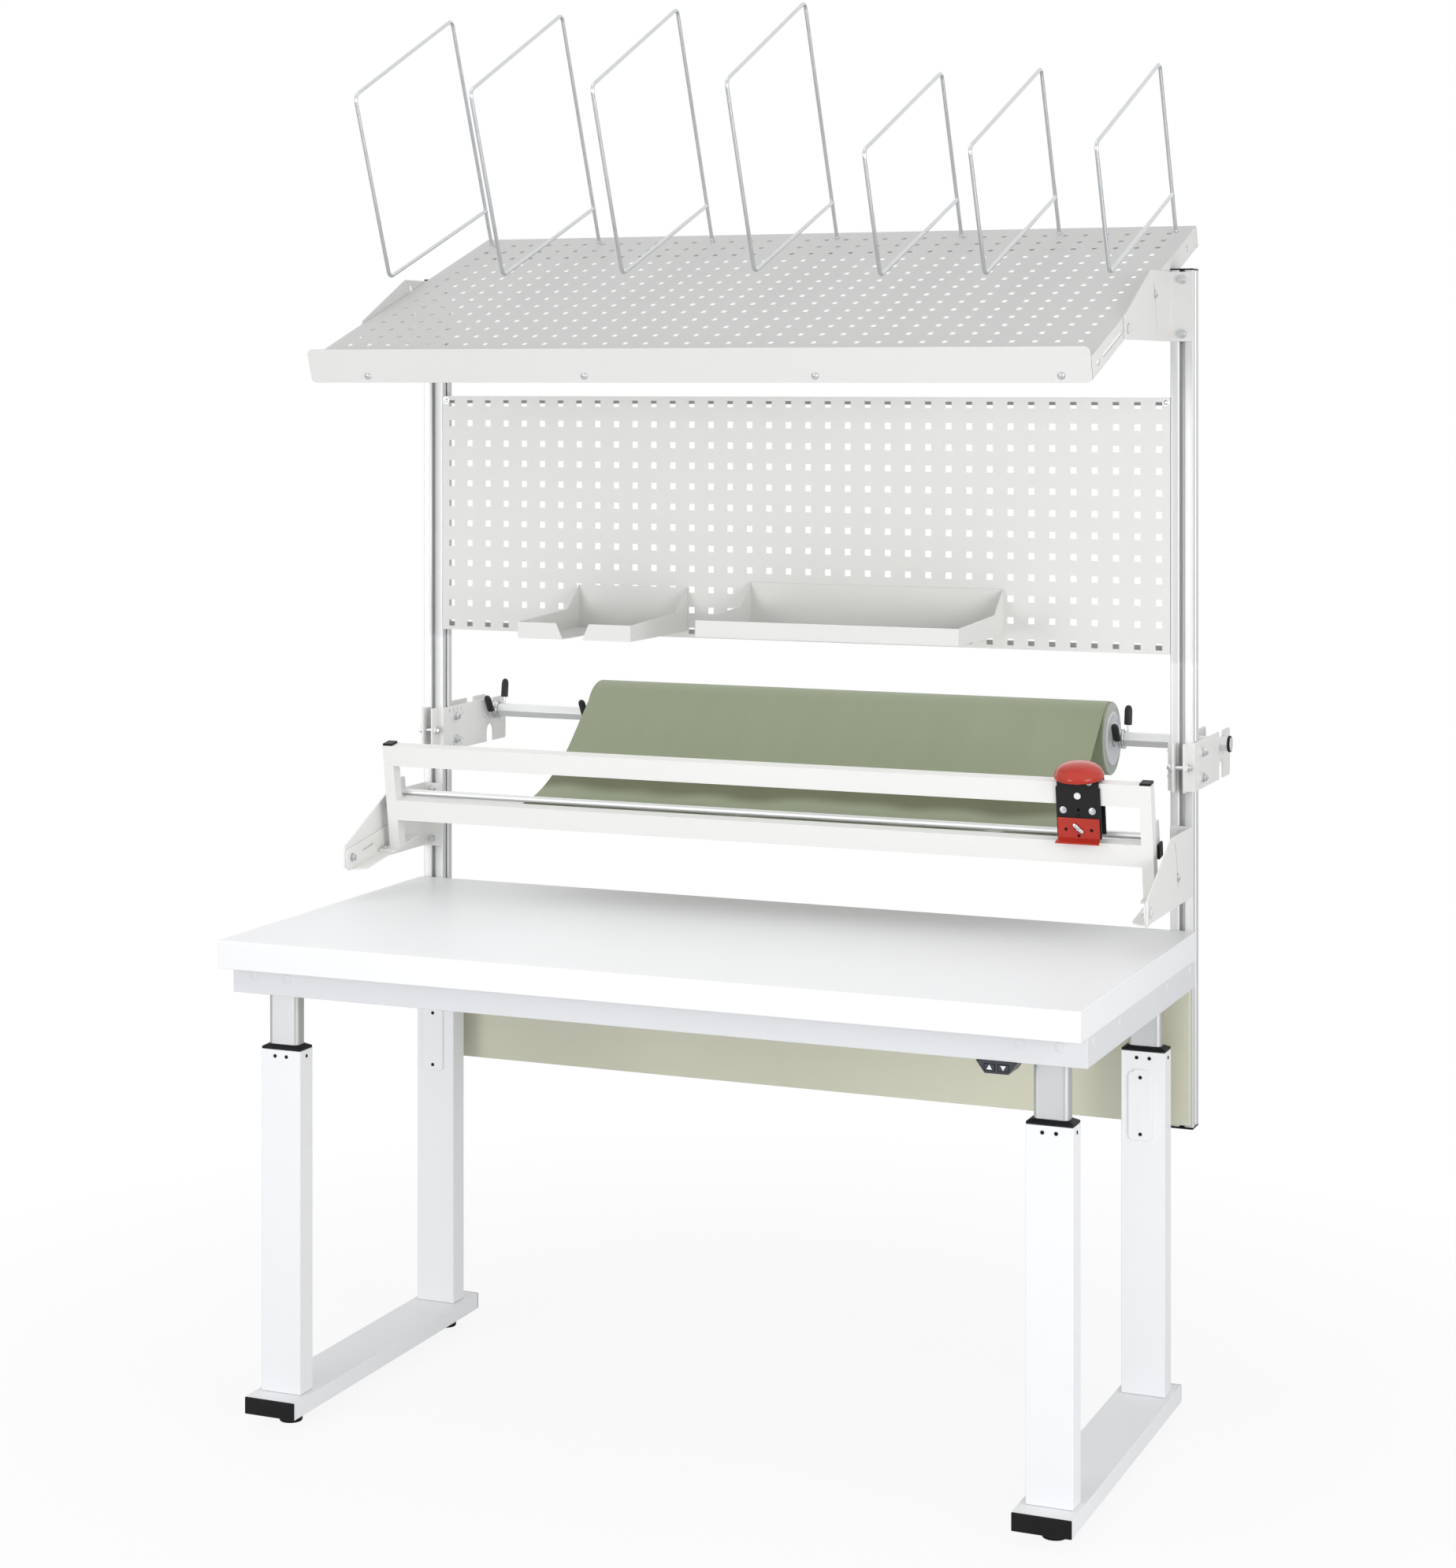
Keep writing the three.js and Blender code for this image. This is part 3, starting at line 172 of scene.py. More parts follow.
class Finish(Nodes):
    """One material, its varying values worked out by nodes."""

    def __init__(self, name, **constants):
        self.material = bpy.data.materials.new(name)
        self.material.use_nodes = True
        super().__init__(self.material.node_tree)
        self.shader = self.tree.nodes["Principled BSDF"]
        for socket, value in constants.items():
            title = socket.replace("_", " ").title().replace("Ior", "IOR")
            self.shader.inputs[title].default_value = value
        self.place = self.node("ShaderNodeTexCoord", {}, {}, "Object")

    def stretched(self, scale):
        return self.node("ShaderNodeMapping", {}, {"Vector": self.place, "Scale": scale})

    def noise(self, scale, detail=3.0, vector=None):
        values = {"Vector": vector or self.place, "Scale": scale, "Detail": detail, "Roughness": 0.55}
        return self.node("ShaderNodeTexNoise", {}, values)

    def tint(self, share, low, high):
        """Goes from the low colour, which may be a socket, to the high one."""
        under = low if isinstance(low, Socket) else (*low, 1)
        return self.node("ShaderNodeMix", {"data_type": "RGBA"}, {0: share, 6: under, 7: (*high, 1)}, 2)

    def step(self, value, low, high):
        """Rises softly from 0 at low to 1 at high."""
        values = {"Value": value, "From Min": low, "From Max": high}
        return self.node("ShaderNodeMapRange", {"interpolation_type": "SMOOTHSTEP"}, values)

    def feed(self, name, value):
        self.tree.links.new(value.socket, self.shader.inputs[name])

    def bump(self, height, strength, distance):
        values = {"Height": height, "Strength": strength, "Distance": distance}
        self.feed("Normal", self.node("ShaderNodeBump", {}, values))


def powder_coat(name, low, high, roughness, grain=900.0, shine=0.45):
    """Powder coat: a faint orange peel, a little unevenness in colour and gloss."""
    coat = Finish(name, specular_ior_level=shine)
    cloud = coat.noise(3.0, 4.0)
    peel = coat.noise(grain, 2.0)
    coat.feed("Base Color", coat.tint(cloud, low, high))
    coat.feed("Roughness", cloud * 0.12 + peel * 0.08 + (roughness - 0.1))
    coat.bump(peel, 0.25, 0.0002)
    return coat.material


def laminate_finish():
    """White laminate: very fine pearl texture under a satin face."""
    sheet = Finish("white_laminate", specular_ior_level=0.35)
    speck = sheet.noise(1400.0, 2.0)
    cloud = sheet.noise(2.2)
    sheet.feed("Base Color", sheet.tint(cloud, (0.86, 0.86, 0.87), (0.885, 0.885, 0.895)))
    sheet.feed("Roughness", speck * 0.14 + cloud * 0.06 + 0.3)
    sheet.bump(speck, 0.3, 0.0002)
    return sheet.material


def drawn_aluminium(name, along, shade, roughness, metallic):
    """Anodised profile: satin metal with fine lines along its drawn length."""
    metal = Finish(name, metallic=metallic)
    scale = [700.0, 700.0, 700.0]
    scale[along] = 4.0
    lines = metal.noise(1.0, 3.0, metal.stretched(scale))
    cloud = metal.noise(5.0)
    low = (shade * 0.93, shade * 0.94, shade * 0.95)
    high = (shade * 1.06, shade * 1.06, shade * 1.06)
    metal.feed("Base Color", metal.tint(lines * 0.6 + cloud * 0.4, low, high))
    metal.feed("Roughness", lines * 0.14 + cloud * 0.06 + (roughness - 0.1))
    metal.bump(lines, 0.12, 0.0001)
    return metal.material


def zinc_finish():
    """Bright zinc plating with faint bluish and yellowish blooms."""
    plating = Finish("bright_zinc", metallic=1.0)
    bloom = plating.noise(60.0)
    plating.feed("Base Color", plating.tint(bloom, (0.60, 0.63, 0.66), (0.70, 0.71, 0.71)))
    plating.feed("Roughness", plating.noise(400.0) * 0.12 + bloom * 0.1 + 0.12)
    plating.bump(plating.noise(900.0), 0.04, 0.0001)
    return plating.material


def grained_plastic(name, low, high, roughness, grain=1300.0, shine=0.3):
    """Moulded plastic with a spark-eroded grain."""
    plastic = Finish(name, specular_ior_level=shine)
    pits = plastic.node("ShaderNodeTexVoronoi", {}, {"Vector": plastic.place, "Scale": grain}, "Distance")
    cloud = plastic.noise(25.0)
    plastic.feed("Base Color", plastic.tint(cloud, low, high))
    plastic.feed("Roughness", cloud * 0.12 + pits * 0.1 + (roughness - 0.08))
    plastic.bump(pits, 0.2, 0.0002)
    return plastic.material


def gloss_red():
    """Thick red gloss with a soft, slightly wavy shine."""
    gloss = Finish("red_gloss", coat_weight=0.45, coat_roughness=0.04, specular_ior_level=0.15)
    cloud = gloss.noise(18.0)
    gloss.feed("Base Color", gloss.tint(cloud, (0.36, 0.020, 0.010), (0.46, 0.032, 0.017)))
    gloss.feed("Roughness", cloud * 0.12 + 0.24)
    gloss.bump(gloss.noise(90.0, 2.0), 0.1, 0.0006)
    return gloss.material


def film_finish(name, painted_shadow):
    """Sage green packing film: a satin face with soft streaks; the hung web can carry painted shadow, a dark
    wavy band across it where the cutter's bar shades it.
    """
    face = Finish(name, specular_ior_level=0.4)
    if painted_shadow:
        face.place = face.node("ShaderNodeUVMap", {"uv_map": "cut"}, {}, "UV")
    streak = face.noise(1.0, 4.0, face.stretched((26.0, 2.0, 2.0)))
    speck = face.noise(700.0, 2.0)
    colour = face.tint(streak * 0.6 + speck * 0.4, (0.23, 0.263, 0.164), (0.294, 0.334, 0.227))
    if painted_shadow:
        # Painted shadow: a dark, wavy band across the hung web, part way along its length from the roll
        along = face.node("ShaderNodeSeparateXYZ", {}, {"Vector": face.place}, 1)
        sway = face.noise(1.0, 3.0, face.stretched((4.0, 3.0, 3.0)))
        level = along + sway * 0.036 - 0.018
        shadow_band = face.step(level, 0.352, 0.308) * face.step(level, 0.228, 0.268)
        colour = face.tint(shadow_band * 0.86, colour, (0.088, 0.094, 0.036))
    face.feed("Base Color", colour)
    face.feed("Roughness", streak * 0.16 + speck * 0.1 + 0.38)
    face.bump(streak * 0.8 + speck * 0.2, 0.22, 0.0006)
    return face.material


def wound_edge_finish():
    """The roll's ends: the film's edges seen as fine rings."""
    edge = Finish("film_edge", specular_ior_level=0.3)
    ring = edge.noise(1.0, 3.0, edge.stretched((10.0, 260.0, 260.0)))
    edge.feed("Base Color", edge.tint(ring, (0.42, 0.46, 0.40), (0.60, 0.63, 0.58)))
    edge.feed("Roughness", ring * 0.2 + 0.5)
    edge.bump(ring, 0.2, 0.0005)
    return edge.material


# Looks: a material paired with a slot name, which the script does not use
gloss = gloss_red()
switch_face = grained_plastic("switch_grey", (0.030, 0.030, 0.042), (0.040, 0.040, 0.052), 0.36, shine=0.4)
film_edge = wound_edge_finish()
laminate = (laminate_finish(), "white_laminate")
white_coat = (powder_coat("white_powder", (0.86, 0.87, 0.885), (0.89, 0.90, 0.91), 0.36), "white_coat")
grey_coat = (powder_coat("light_grey_powder", (0.75, 0.75, 0.728), (0.795, 0.79, 0.768), 0.46), "grey_coat")
# Painted shade: a darker copy of the white coat for the under-frame, standing in for the shade under the
# worktop's overhang
shaded_frame_coat = (powder_coat("white_powder_frame_painted_shade", (0.70, 0.71, 0.725), (0.74, 0.75, 0.765), 0.4), "white_coat")
beige_coat = (
    powder_coat("beige_green_powder", (0.62, 0.615, 0.485), (0.67, 0.665, 0.53), 0.46),
    "beige_coat",
)
black_coat = (
    powder_coat("black_powder", (0.006, 0.006, 0.006), (0.011, 0.011, 0.011), 0.5, 700.0, 0.25),
    "black_coat",
)
column_metal = (drawn_aluminium("column_anodised", 2, 0.56, 0.42, 0.8), "anodised")
upright_metal = (drawn_aluminium("upright_anodised", 2, 0.66, 0.46, 0.6), "anodised")
bar_metal = (drawn_aluminium("bar_anodised", 0, 0.74, 0.5, 0.8), "anodised")
zinc = (zinc_finish(), "zinc")
black_plastic = (
    grained_plastic("black_plastic", (0.005, 0.005, 0.006), (0.010, 0.010, 0.011), 0.44, shine=0.18),
    "black_plastic",
)
grip_black = (
    grained_plastic("grip_vinyl", (0.014, 0.014, 0.014), (0.024, 0.024, 0.024), 0.36, 700.0),
    "black_plastic",
)
white_plastic = (
    grained_plastic("white_plastic", (0.74, 0.76, 0.78), (0.80, 0.81, 0.83), 0.4, shine=0.45),
    "white_plastic",
)
red_sheet = (gloss, "red_coat")
red_dome = (gloss, "red_plastic")
switch_grey = (switch_face, "black_plastic")
key_grey = (switch_face, "white_plastic")
film = (film_finish("sage_film", False), "film")
# The hung web's film carries the painted shadow band
hung_film = (film_finish("sage_film_hung", True), "film")


# Making pieces
def start_clean():
    if bpy.context.object and bpy.context.object.mode != "OBJECT":
        bpy.ops.object.mode_set(mode="OBJECT")
    bpy.ops.object.select_all(action="DESELECT")


def pick(*pieces):
    start_clean()
    for piece in pieces:
        piece.select_set(True)
    bpy.context.view_layer.objects.active = pieces[0]


def apply_place(piece):
    pick(piece)
    bpy.ops.object.transform_apply(location=True, rotation=True, scale=True)


def modified(piece, kind, **settings):
    pick(piece)
    modifier = piece.modifiers.new(kind.lower(), kind)
    for name, value in settings.items():
        setattr(modifier, name, value)
    bpy.ops.object.modifier_apply(modifier=modifier.name)
    return piece


def smooth(piece, angle=35):
    pick(piece)
    bpy.ops.object.shade_smooth_by_angle(angle=math.radians(angle))
    return piece


def rounded(piece, width, segments=2):
    if width:
        sharp = {"limit_method": "ANGLE", "angle_limit": math.radians(30)}
        modified(piece, "BEVEL", width=width, segments=segments, **sharp)
    smooth(piece)
    return modified(piece, "WEIGHTED_NORMAL", keep_sharp=True)


def in_edit(piece, select="SELECT"):
    pick(piece)
    bpy.ops.object.mode_set(mode="EDIT")
    bpy.ops.mesh.select_all(action=select)


def out_of_edit():
    bpy.ops.object.mode_set(mode="OBJECT")


def outwards(piece):
    in_edit(piece)
    bpy.ops.mesh.remove_doubles(threshold=1e-6)
    bpy.ops.mesh.normals_make_consistent(inside=False)
    out_of_edit()
    return piece


def linked(name, data):
    piece = bpy.data.objects.new(name, data)
    bpy.context.collection.objects.link(piece)
    return piece


def mesh_piece(name, points, edges, faces):
    start_clean()
    mesh = bpy.data.meshes.new(name)
    mesh.from_pydata(points, edges, faces)
    return linked(name, mesh)


def joined(pieces):
    if len(pieces) > 1:
        pick(*pieces)
        bpy.ops.object.join()
    return pieces[0]


def carved(piece, cutters):
    """Takes the cutters out of a piece."""
    cutter = joined(cutters)
    modified(piece, "BOOLEAN", operation="DIFFERENCE", solver="EXACT", object=cutter)
    bpy.data.objects.remove(cutter)
    return piece


def bevel_edges(piece, chosen, offset, segments):
    """Bevels the edges whose two ends pass a test."""
    in_edit(piece, "DESELECT")
    bpy.ops.mesh.select_mode(type="EDGE")
    out_of_edit()
    for edge in piece.data.edges:
        a, b = (piece.data.vertices[i].co for i in edge.vertices)
        edge.select = chosen(a, b)
    bpy.ops.object.mode_set(mode="EDIT")
    bpy.ops.mesh.bevel(offset=offset, segments=segments)
    out_of_edit()


def board(low, high, bevel, segments=2):
    """A block between two corners, with rounded edges."""
    start_clean()
    centre = [(a + b) / 2 for a, b in zip(low, high)]
    bpy.ops.mesh.primitive_cube_add(size=1, location=centre)
    piece = bpy.context.object
    piece.scale = [abs(b - a) for a, b in zip(low, high)]
    apply_place(piece)
    return rounded(piece, bevel, segments)


def disc(place, axis, radius, thick, bevel, sides):
    """A round or many-sided plug along an axis, from place outwards."""
    start_clean()
    bpy.ops.mesh.primitive_cylinder_add(vertices=sides, radius=radius, depth=thick)
    piece = bpy.context.object
    direction = Vector(axis).normalized()
    piece.rotation_euler = direction.to_track_quat("Z", "Y").to_euler()
    piece.location = Vector(place) + direction * thick / 2
    apply_place(piece)
    return rounded(piece, bevel)


def revolved(outline, place, axis, steps):
    """Turns an outline of (radius, distance along) points round an axis."""
    points = [(radius, 0, along) for radius, along in outline]
    edges = [(i, i + 1) for i in range(len(points) - 1)]
    piece = mesh_piece("profile", points, edges, [])
    merge = {"use_merge_vertices": True, "merge_threshold": 1e-6}
    modified(piece, "SCREW", steps=steps, render_steps=steps, **merge)
    outwards(piece)
    piece.rotation_euler = Vector(axis).to_track_quat("Z", "Y").to_euler()
    piece.location = place
    apply_place(piece)
    return smooth(piece, 40)


def wire(points, radius, sides):
    """A round wire along a line of points."""
    start_clean()
    curve = bpy.data.curves.new("wire", "CURVE")
    curve.dimensions = "3D"
    curve.bevel_depth = radius
    curve.bevel_resolution = sides
    curve.use_fill_caps = True
    spline = curve.splines.new("POLY")
    spline.points.add(len(points) - 1)
    for knot, point in zip(spline.points, points):
        knot.co = (*point, 1)
    pick(linked("wire", curve))
    bpy.ops.object.convert(target="MESH")
    piece = bpy.context.object
    outwards(piece)
    return smooth(piece, 60)


def stacked(rings, place):
    """A closed skin through rounded rectangles given as (half wide, half deep, corner, height)."""
    steps = 6
    points = []
    for wide, deep, corner, high in rings:
        for quarter, (sx, sy) in enumerate(((1, 1), (-1, 1), (-1, -1), (1, -1))):
            for k in range(steps + 1):
                angle = math.radians(90) * (quarter + k / steps)
                x = sx * (wide - corner) + corner * math.cos(angle)
                y = sy * (deep - corner) + corner * math.sin(angle)
                points.append((place[0] + x, place[1] + y, place[2] + high))
    around = 4 * (steps + 1)
    faces = []
    for i in range(len(rings)):
        low = i * around
        high = (i + 1) % len(rings) * around
        for k in range(around):
            far = (k + 1) % around
            faces.append((low + k, low + far, high + far, high + k))
    return outwards(mesh_piece("stacked", points, [], faces))


def copy_of(node):
    """A merged copy of a CAD node's mesh, with its flat faces made whole again."""
    start_clean()
    piece = linked(node, nodes[node].data.copy())
    in_edit(piece)
    bpy.ops.mesh.remove_doubles(threshold=1e-6)
    bpy.ops.mesh.dissolve_limited(angle_limit=math.radians(1))
    out_of_edit()
    return piece


def dressed(piece, name, look, place, replaces):
    """Names a piece, moves it to its place and gives it its look."""
    material, slot = look
    piece.data.transform(place)
    piece.name = name
    piece.data.name = name
    piece.data.materials.clear()
    piece.data.materials.append(material)
    for node in replaces:
        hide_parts(node)


def finish(piece, name, look, body, replaces=()):
    """Finishes a piece modelled in its body's frame, and lets it ride that body."""
    dressed(piece, name, look, tilted.get(body, table_place), replaces)
    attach(piece, body)


def finish_copy(piece, node, name, look, body):
    """Finishes a piece made from a CAD node's own mesh, which is in its place already."""
    dressed(piece, name, look, Matrix(), [node])
    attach(piece, body)


def eased(node, look, body, width, segments):
    """Stands for a CAD node whose shape is right, with its edges eased."""
    finish_copy(rounded(copy_of(node), width, segments), node, node + "_eased", look, body)


# Fasteners, modelled once each and copied to their places
up = (0, 0, 1)
origin = (0, 0, 0)


def hex_bolt():
    radius = 0.0065
    head = 0.0053
    washer = disc(origin, up, radius * 1.3, 0.0014, 0.0003, 24)
    cap = disc((0, 0, 0.0014), up, radius, head, 0.0006, 6)
    shank = disc((0, 0, 0.0014 + head), up, radius * 0.5, 0.0015, 0.0003, 16)
    return joined([washer, cap, shank])


def pan_screw():
    radius = 0.0042
    head = 0.0024
    outline = [
        (0, head * 0.55), (radius * 0.42, head * 0.55), (radius * 0.46, head), (radius * 0.72, head * 0.9),
        (radius, head * 0.35), (radius, 0), (0, 0),
    ]
    cap = revolved(outline, origin, up, 20)
    washer = disc((0, 0, -0.0002), up, radius * 1.35, 0.0008, 0.0002, 24)
    return joined([cap, washer])


def sunk_screw():
    radius = 0.0032
    outline = [
        (0, 0.0002), (radius * 0.4, 0.0002), (radius * 0.5, 0.0009), (radius * 0.86, 0.0009),
        (radius, 0.0003), (radius, -0.001), (0, -0.001),
    ]
    return revolved(outline, origin, up, 20)


def cover_cap():
    radius = 0.0085
    outline = [(0, 0.0012), (radius * 0.8, 0.0011), (radius * 0.95, 0.0007), (radius, 0), (0, 0)]
    return revolved(outline, origin, up, 28)


patterns = {"hex": hex_bolt(), "pan": pan_screw(), "sunk": sunk_screw(), "cap": cover_cap()}
for fastener in patterns.values():
    fastener.hide_render = True


def turned_to(axis):
    return Vector(axis).to_track_quat("Z", "Y").to_matrix().to_4x4()


def fasteners(kind, seats, name, body, scale=1.0, look=zinc):
    """Copies one kind of fastener to seats given as (point, axis)."""
    made = []
    for point, axis in seats:
        piece = linked(kind, patterns[kind].data.copy())
        piece.data.transform(Matrix.Translation(point) @ turned_to(axis) @ Matrix.Scale(scale, 4))
        made.append(piece)
    finish(joined(made), name, look, body)


# The table itself
def make_table():
    eased("worktop", laminate, "lift", 0.0014, 3)
    # The under-frame and its cover caps take the darker copy of the white coat, which is painted shade
    eased("under_frame", shaded_frame_coat, "lift", 0.0016, 3)
    frame_front = 0.048
    frame_side = 0.748
    caps = [((x, frame_front, 0.773), (0, -1, 0)) for x in (-0.706, -0.643, 0.643, 0.706)]
    for y in (0.088, 0.244, 0.551, 0.711):
        caps += [((sign * frame_side, y, 0.779), (sign, 0, 0)) for _, sign in sides]
    fasteners("cap", caps, "frame_cover_caps", "lift", look=shaded_frame_coat)


def make_glide_collar(sign, name, y):
    """The plastic guide in a leg's mouth: a thin plate that slopes up to the column."""
    rings = [
        (0.0378, 0.0218, 0.0022, 0.0004),
        (0.0378, 0.0218, 0.0022, 0.0034),
        (0.0372, 0.0212, 0.0022, 0.0042),
        (0.0306, 0.0172, 0.0100, 0.0078),
        (0.0300, 0.0166, 0.0096, 0.0084),
        (0.0291, 0.0156, 0.0094, 0.0084),
        (0.0291, 0.0156, 0.0094, -0.028),
        (0.0342, 0.0182, 0.0020, -0.028),
        (0.0342, 0.0182, 0.0020, 0.0004),
    ]
    collar = smooth(stacked(rings, (sign * leg_middle, y, leg_top)), 30)
    finish(collar, "glide_collar_skin_" + name, black_plastic, "base", ["glide_collar_" + name])


def make_leg(side, sign, end, front, rear):
    name = f"{end}_{side}"
    middle = (front + rear) / 2
    eased("leg_tube_" + name, white_coat, "base", 0.0022, 3)
    make_glide_collar(sign, name, middle)
    eased("lift_column_" + name, column_metal, "lift", 0, 1)
    x = sign * leg_middle
    z = leg_top - 0.011
    screws = [((x + d, front, z), (0, -1, 0)) for d in (-0.011, 0.011)]
    screws += [((x + d, rear, z), (0, 1, 0)) for d in (-0.011, 0.011)]
    screws += [((x + s * 0.038, middle, z), (s, 0, 0)) for s in (-1, 1)]
    fasteners("sunk", screws, "collar_screws_" + name, "base", look=black_plastic)


def make_leg_cover(side, sign, front):
    x = sign * leg_middle - 0.004
    face = front - 0.0031
    back = front - 0.0001
    plate = board((x - 0.021, face, 0.491), (x + 0.021, back, 0.609), 0)
    bevel_edges(plate, lambda a, b: abs(a.y - b.y) > 0.0005, 0.009, 6)
    tab = board((x - 0.011, front - 0.0034, 0.606), (x + 0.011, back, 0.6125), 0.0006)
    finish(joined([rounded(plate, 0.0008, 3), tab]), "leg_cover_" + side, white_coat, "base")
    screws = [((x, face, z), (0, -1, 0)) for z in (0.502, 0.599)]
    fasteners("sunk", screws, "leg_cover_screws_" + side, "base", look=black_plastic)


def make_base(side, sign):
    eased("base_rail_" + side, white_coat, "base", 0.0018, 3)
    for end, y, way in (("front", 0.048, -1), ("rear", 0.748, 1)):
        low = (sign * (base_inner + 0.0004), y, 0.0272)
        high = (sign * (base_outer - 0.0004), y + way * 0.0035, 0.0558)
        flange = board(low, high, 0.0013, 3)
        low = (sign * (base_inner + 0.0035), y, 0.0305)
        high = (sign * (base_outer - 0.0035), y - way * 0.012, 0.0525)
        plug = board(low, high, 0.0006)
        finish(joined([flange, plug]), f"rail_cap_{end}_{side}", black_plastic, "base")


def make_foot(side, sign, end, y):
    name = f"{end}_{side}"
    place = (sign * foot_middle, y, 0)
    pad = [
        (0, 0), (0.0165, 0), (0.0192, 0.0008), (0.02, 0.0028), (0.02, 0.0062), (0.0186, 0.0079),
        (0.0105, 0.0094), (0.0088, 0.0128), (0.0078, 0.0138), (0, 0.0138),
    ]
    node = "levelling_foot_" + name
    finish(revolved(pad, place, up, 36), "foot_pad_" + name, black_plastic, "foot_" + name, [node])
    crest = 0.0048
    root = 0.0042
    thread_pitch = 0.0018
    thread = [(0, 0.012), (0.0072, 0.012), (0.0072, 0.0165), (crest, 0.0168)]
    for i in range(14):
        z = 0.0178 + i * thread_pitch
        thread += [(crest, z), (root, z + thread_pitch / 2)]
    thread += [(root, 0.0445), (0, 0.0448)]
    finish(revolved(thread, place, up, 20), "foot_spindle_" + name, zinc, "foot_" + name)


def make_drive():
    eased("control_box", black_plastic, "lift", 0.003, 3)
    eased("hand_switch", switch_grey, "lift", 0.0016, 3)
    key_face = 0.0445
    key_high = 0.7345
    for name, x, way in (("up", 0.594, 1), ("down", 0.616, -1)):
        node = name + "_button"
        finish_copy(rounded(copy_of(node), 0.0009), node, name + "_key_cap", key_grey, name + "_key")
        start_clean()
        bpy.ops.mesh.primitive_cylinder_add(vertices=3, radius=0.0052, depth=0.0006)
        arrow = bpy.context.object
        arrow.rotation_euler = (math.radians(90), 0, 0)
        apply_place(arrow)
        arrow.data.transform(Matrix.Rotation(math.radians(0 if way > 0 else 180), 4, "Y"))
        arrow.data.transform(Matrix.Translation((x, key_face - 0.0002, key_high - way * 0.001)))
        finish(rounded(arrow, 0.0003, 1), name + "_key_arrow", white_plastic, name + "_key")


def make_upright(side, sign):
    """A square profile with a T-slot in each side, the slots' mouths chamfered."""
    x = sign * (upright_outer - profile / 2)
    y = upright_front + profile / 2
    half = profile / 2
    quarter = [
        (0.0012 - half, half), (-0.0064, half), (-0.0060, half - 0.0002), (-0.0042, half - 0.0020),
        (-0.0040, half - 0.0025), (-0.0085, half - 0.0025), (-0.0085, half - 0.0065),
        (-0.0040, half - 0.0110),
    ]
    quarter += [(-a, b) for a, b in reversed(quarter)]
    outline = []
    for _ in range(4):
        outline += [(x + a, y + b, upright_foot) for a, b in quarter]
        quarter = [(b, -a) for a, b in quarter]
    bar = mesh_piece("upright", outline, [], [range(len(outline))])
    in_edit(bar)
    rise = {"value": (0, 0, upright_head - upright_foot)}
    bpy.ops.mesh.extrude_region_move(TRANSFORM_OT_translate=rise)
    out_of_edit()
    smooth(outwards(bar), 40)
    finish(bar, f"upright_{side}_profile", upright_metal, "lift", ["upright_" + side])
    for name, low, high, bevel in (
        ("upright_cap_", upright_head + 0.0001, upright_head + 0.003, 0.0012),
        ("upright_foot_cap_", upright_foot - 0.004, upright_foot - 0.0001, 0.0016),
    ):
        cap = board((x - half, y - half, low), (x + half, y + half, high), bevel, 3)
        finish(cap, name + side, black_plastic, "lift")


def punched_sheet(counts, pitches, hole, corner, margins, thick):
    """A sheet with a grid of holes: one cell, repeated, with a plain margin on each side."""
    start_clean()
    bpy.ops.mesh.primitive_plane_add(size=1)
    sheet = bpy.context.object
    sheet.scale = (*pitches, 1)
    apply_place(sheet)
    in_edit(sheet)
    bpy.ops.mesh.inset(thickness=min(pitches) * 0.2)
    out_of_edit()
    inner = [polygon for polygon in sheet.data.polygons if polygon.select]
    for i in sorted(set(i for polygon in inner for i in polygon.vertices)):
        point = sheet.data.vertices[i].co
        point.x = math.copysign(hole[0] / 2, point.x)
        point.y = math.copysign(hole[1] / 2, point.y)
    if corner:
        bpy.ops.object.mode_set(mode="EDIT")
        bpy.ops.mesh.bevel(offset=corner, affect="VERTICES")
        out_of_edit()
    in_edit(sheet, "DESELECT")
    bpy.ops.mesh.select_mode(type="FACE")
    out_of_edit()
    for polygon in sheet.data.polygons:
        polygon.select = polygon.center.length < 1e-4
    bpy.ops.object.mode_set(mode="EDIT")
    bpy.ops.mesh.delete(type="FACE")
    out_of_edit()
    merge = {"use_merge_vertices": True, "merge_threshold": 1e-5}
    for axis in (0, 1):
        step = [0, 0, 0]
        step[axis] = pitches[axis]
        spread = {"use_relative_offset": False, "use_constant_offset": True, "constant_offset_displace": step}
        modified(sheet, "ARRAY", count=counts[axis], **spread, **merge)
    back = [-(count - 1) * pitch / 2 for count, pitch in zip(counts, pitches)]
    sheet.data.transform(Matrix.Translation((*back, 0)))
    for axis, way, target in margins:
        edge_place = way * (counts[axis] * pitches[axis] / 2)
        widen(sheet, axis, edge_place, target)
    modified(sheet, "SOLIDIFY", thickness=thick, offset=-1.0)
    return sheet


def widen(sheet, axis, edge_place, target):
    """Brings one side of a flat sheet to its target: drawn in, or added as a plain strip."""
    vertices = sheet.data.vertices
    outer = [abs(vertex.co[axis] - edge_place) < 1e-5 for vertex in vertices]
    if abs(target) < abs(edge_place):
        for vertex, at_edge in zip(vertices, outer):
            if at_edge:
                vertex.co[axis] = target
        return
    for vertex, at_edge in zip(vertices, outer):
        vertex.select = at_edge
    for edge in sheet.data.edges:
        edge.select = all(outer[i] for i in edge.vertices)
    for polygon in sheet.data.polygons:
        polygon.select = False
    move = [0, 0, 0]
    move[axis] = target - edge_place
    bpy.ops.object.mode_set(mode="EDIT")
    bpy.ops.mesh.select_mode(type="EDGE")
    bpy.ops.mesh.extrude_edges_move(TRANSFORM_OT_translate={"value": move})
    out_of_edit()


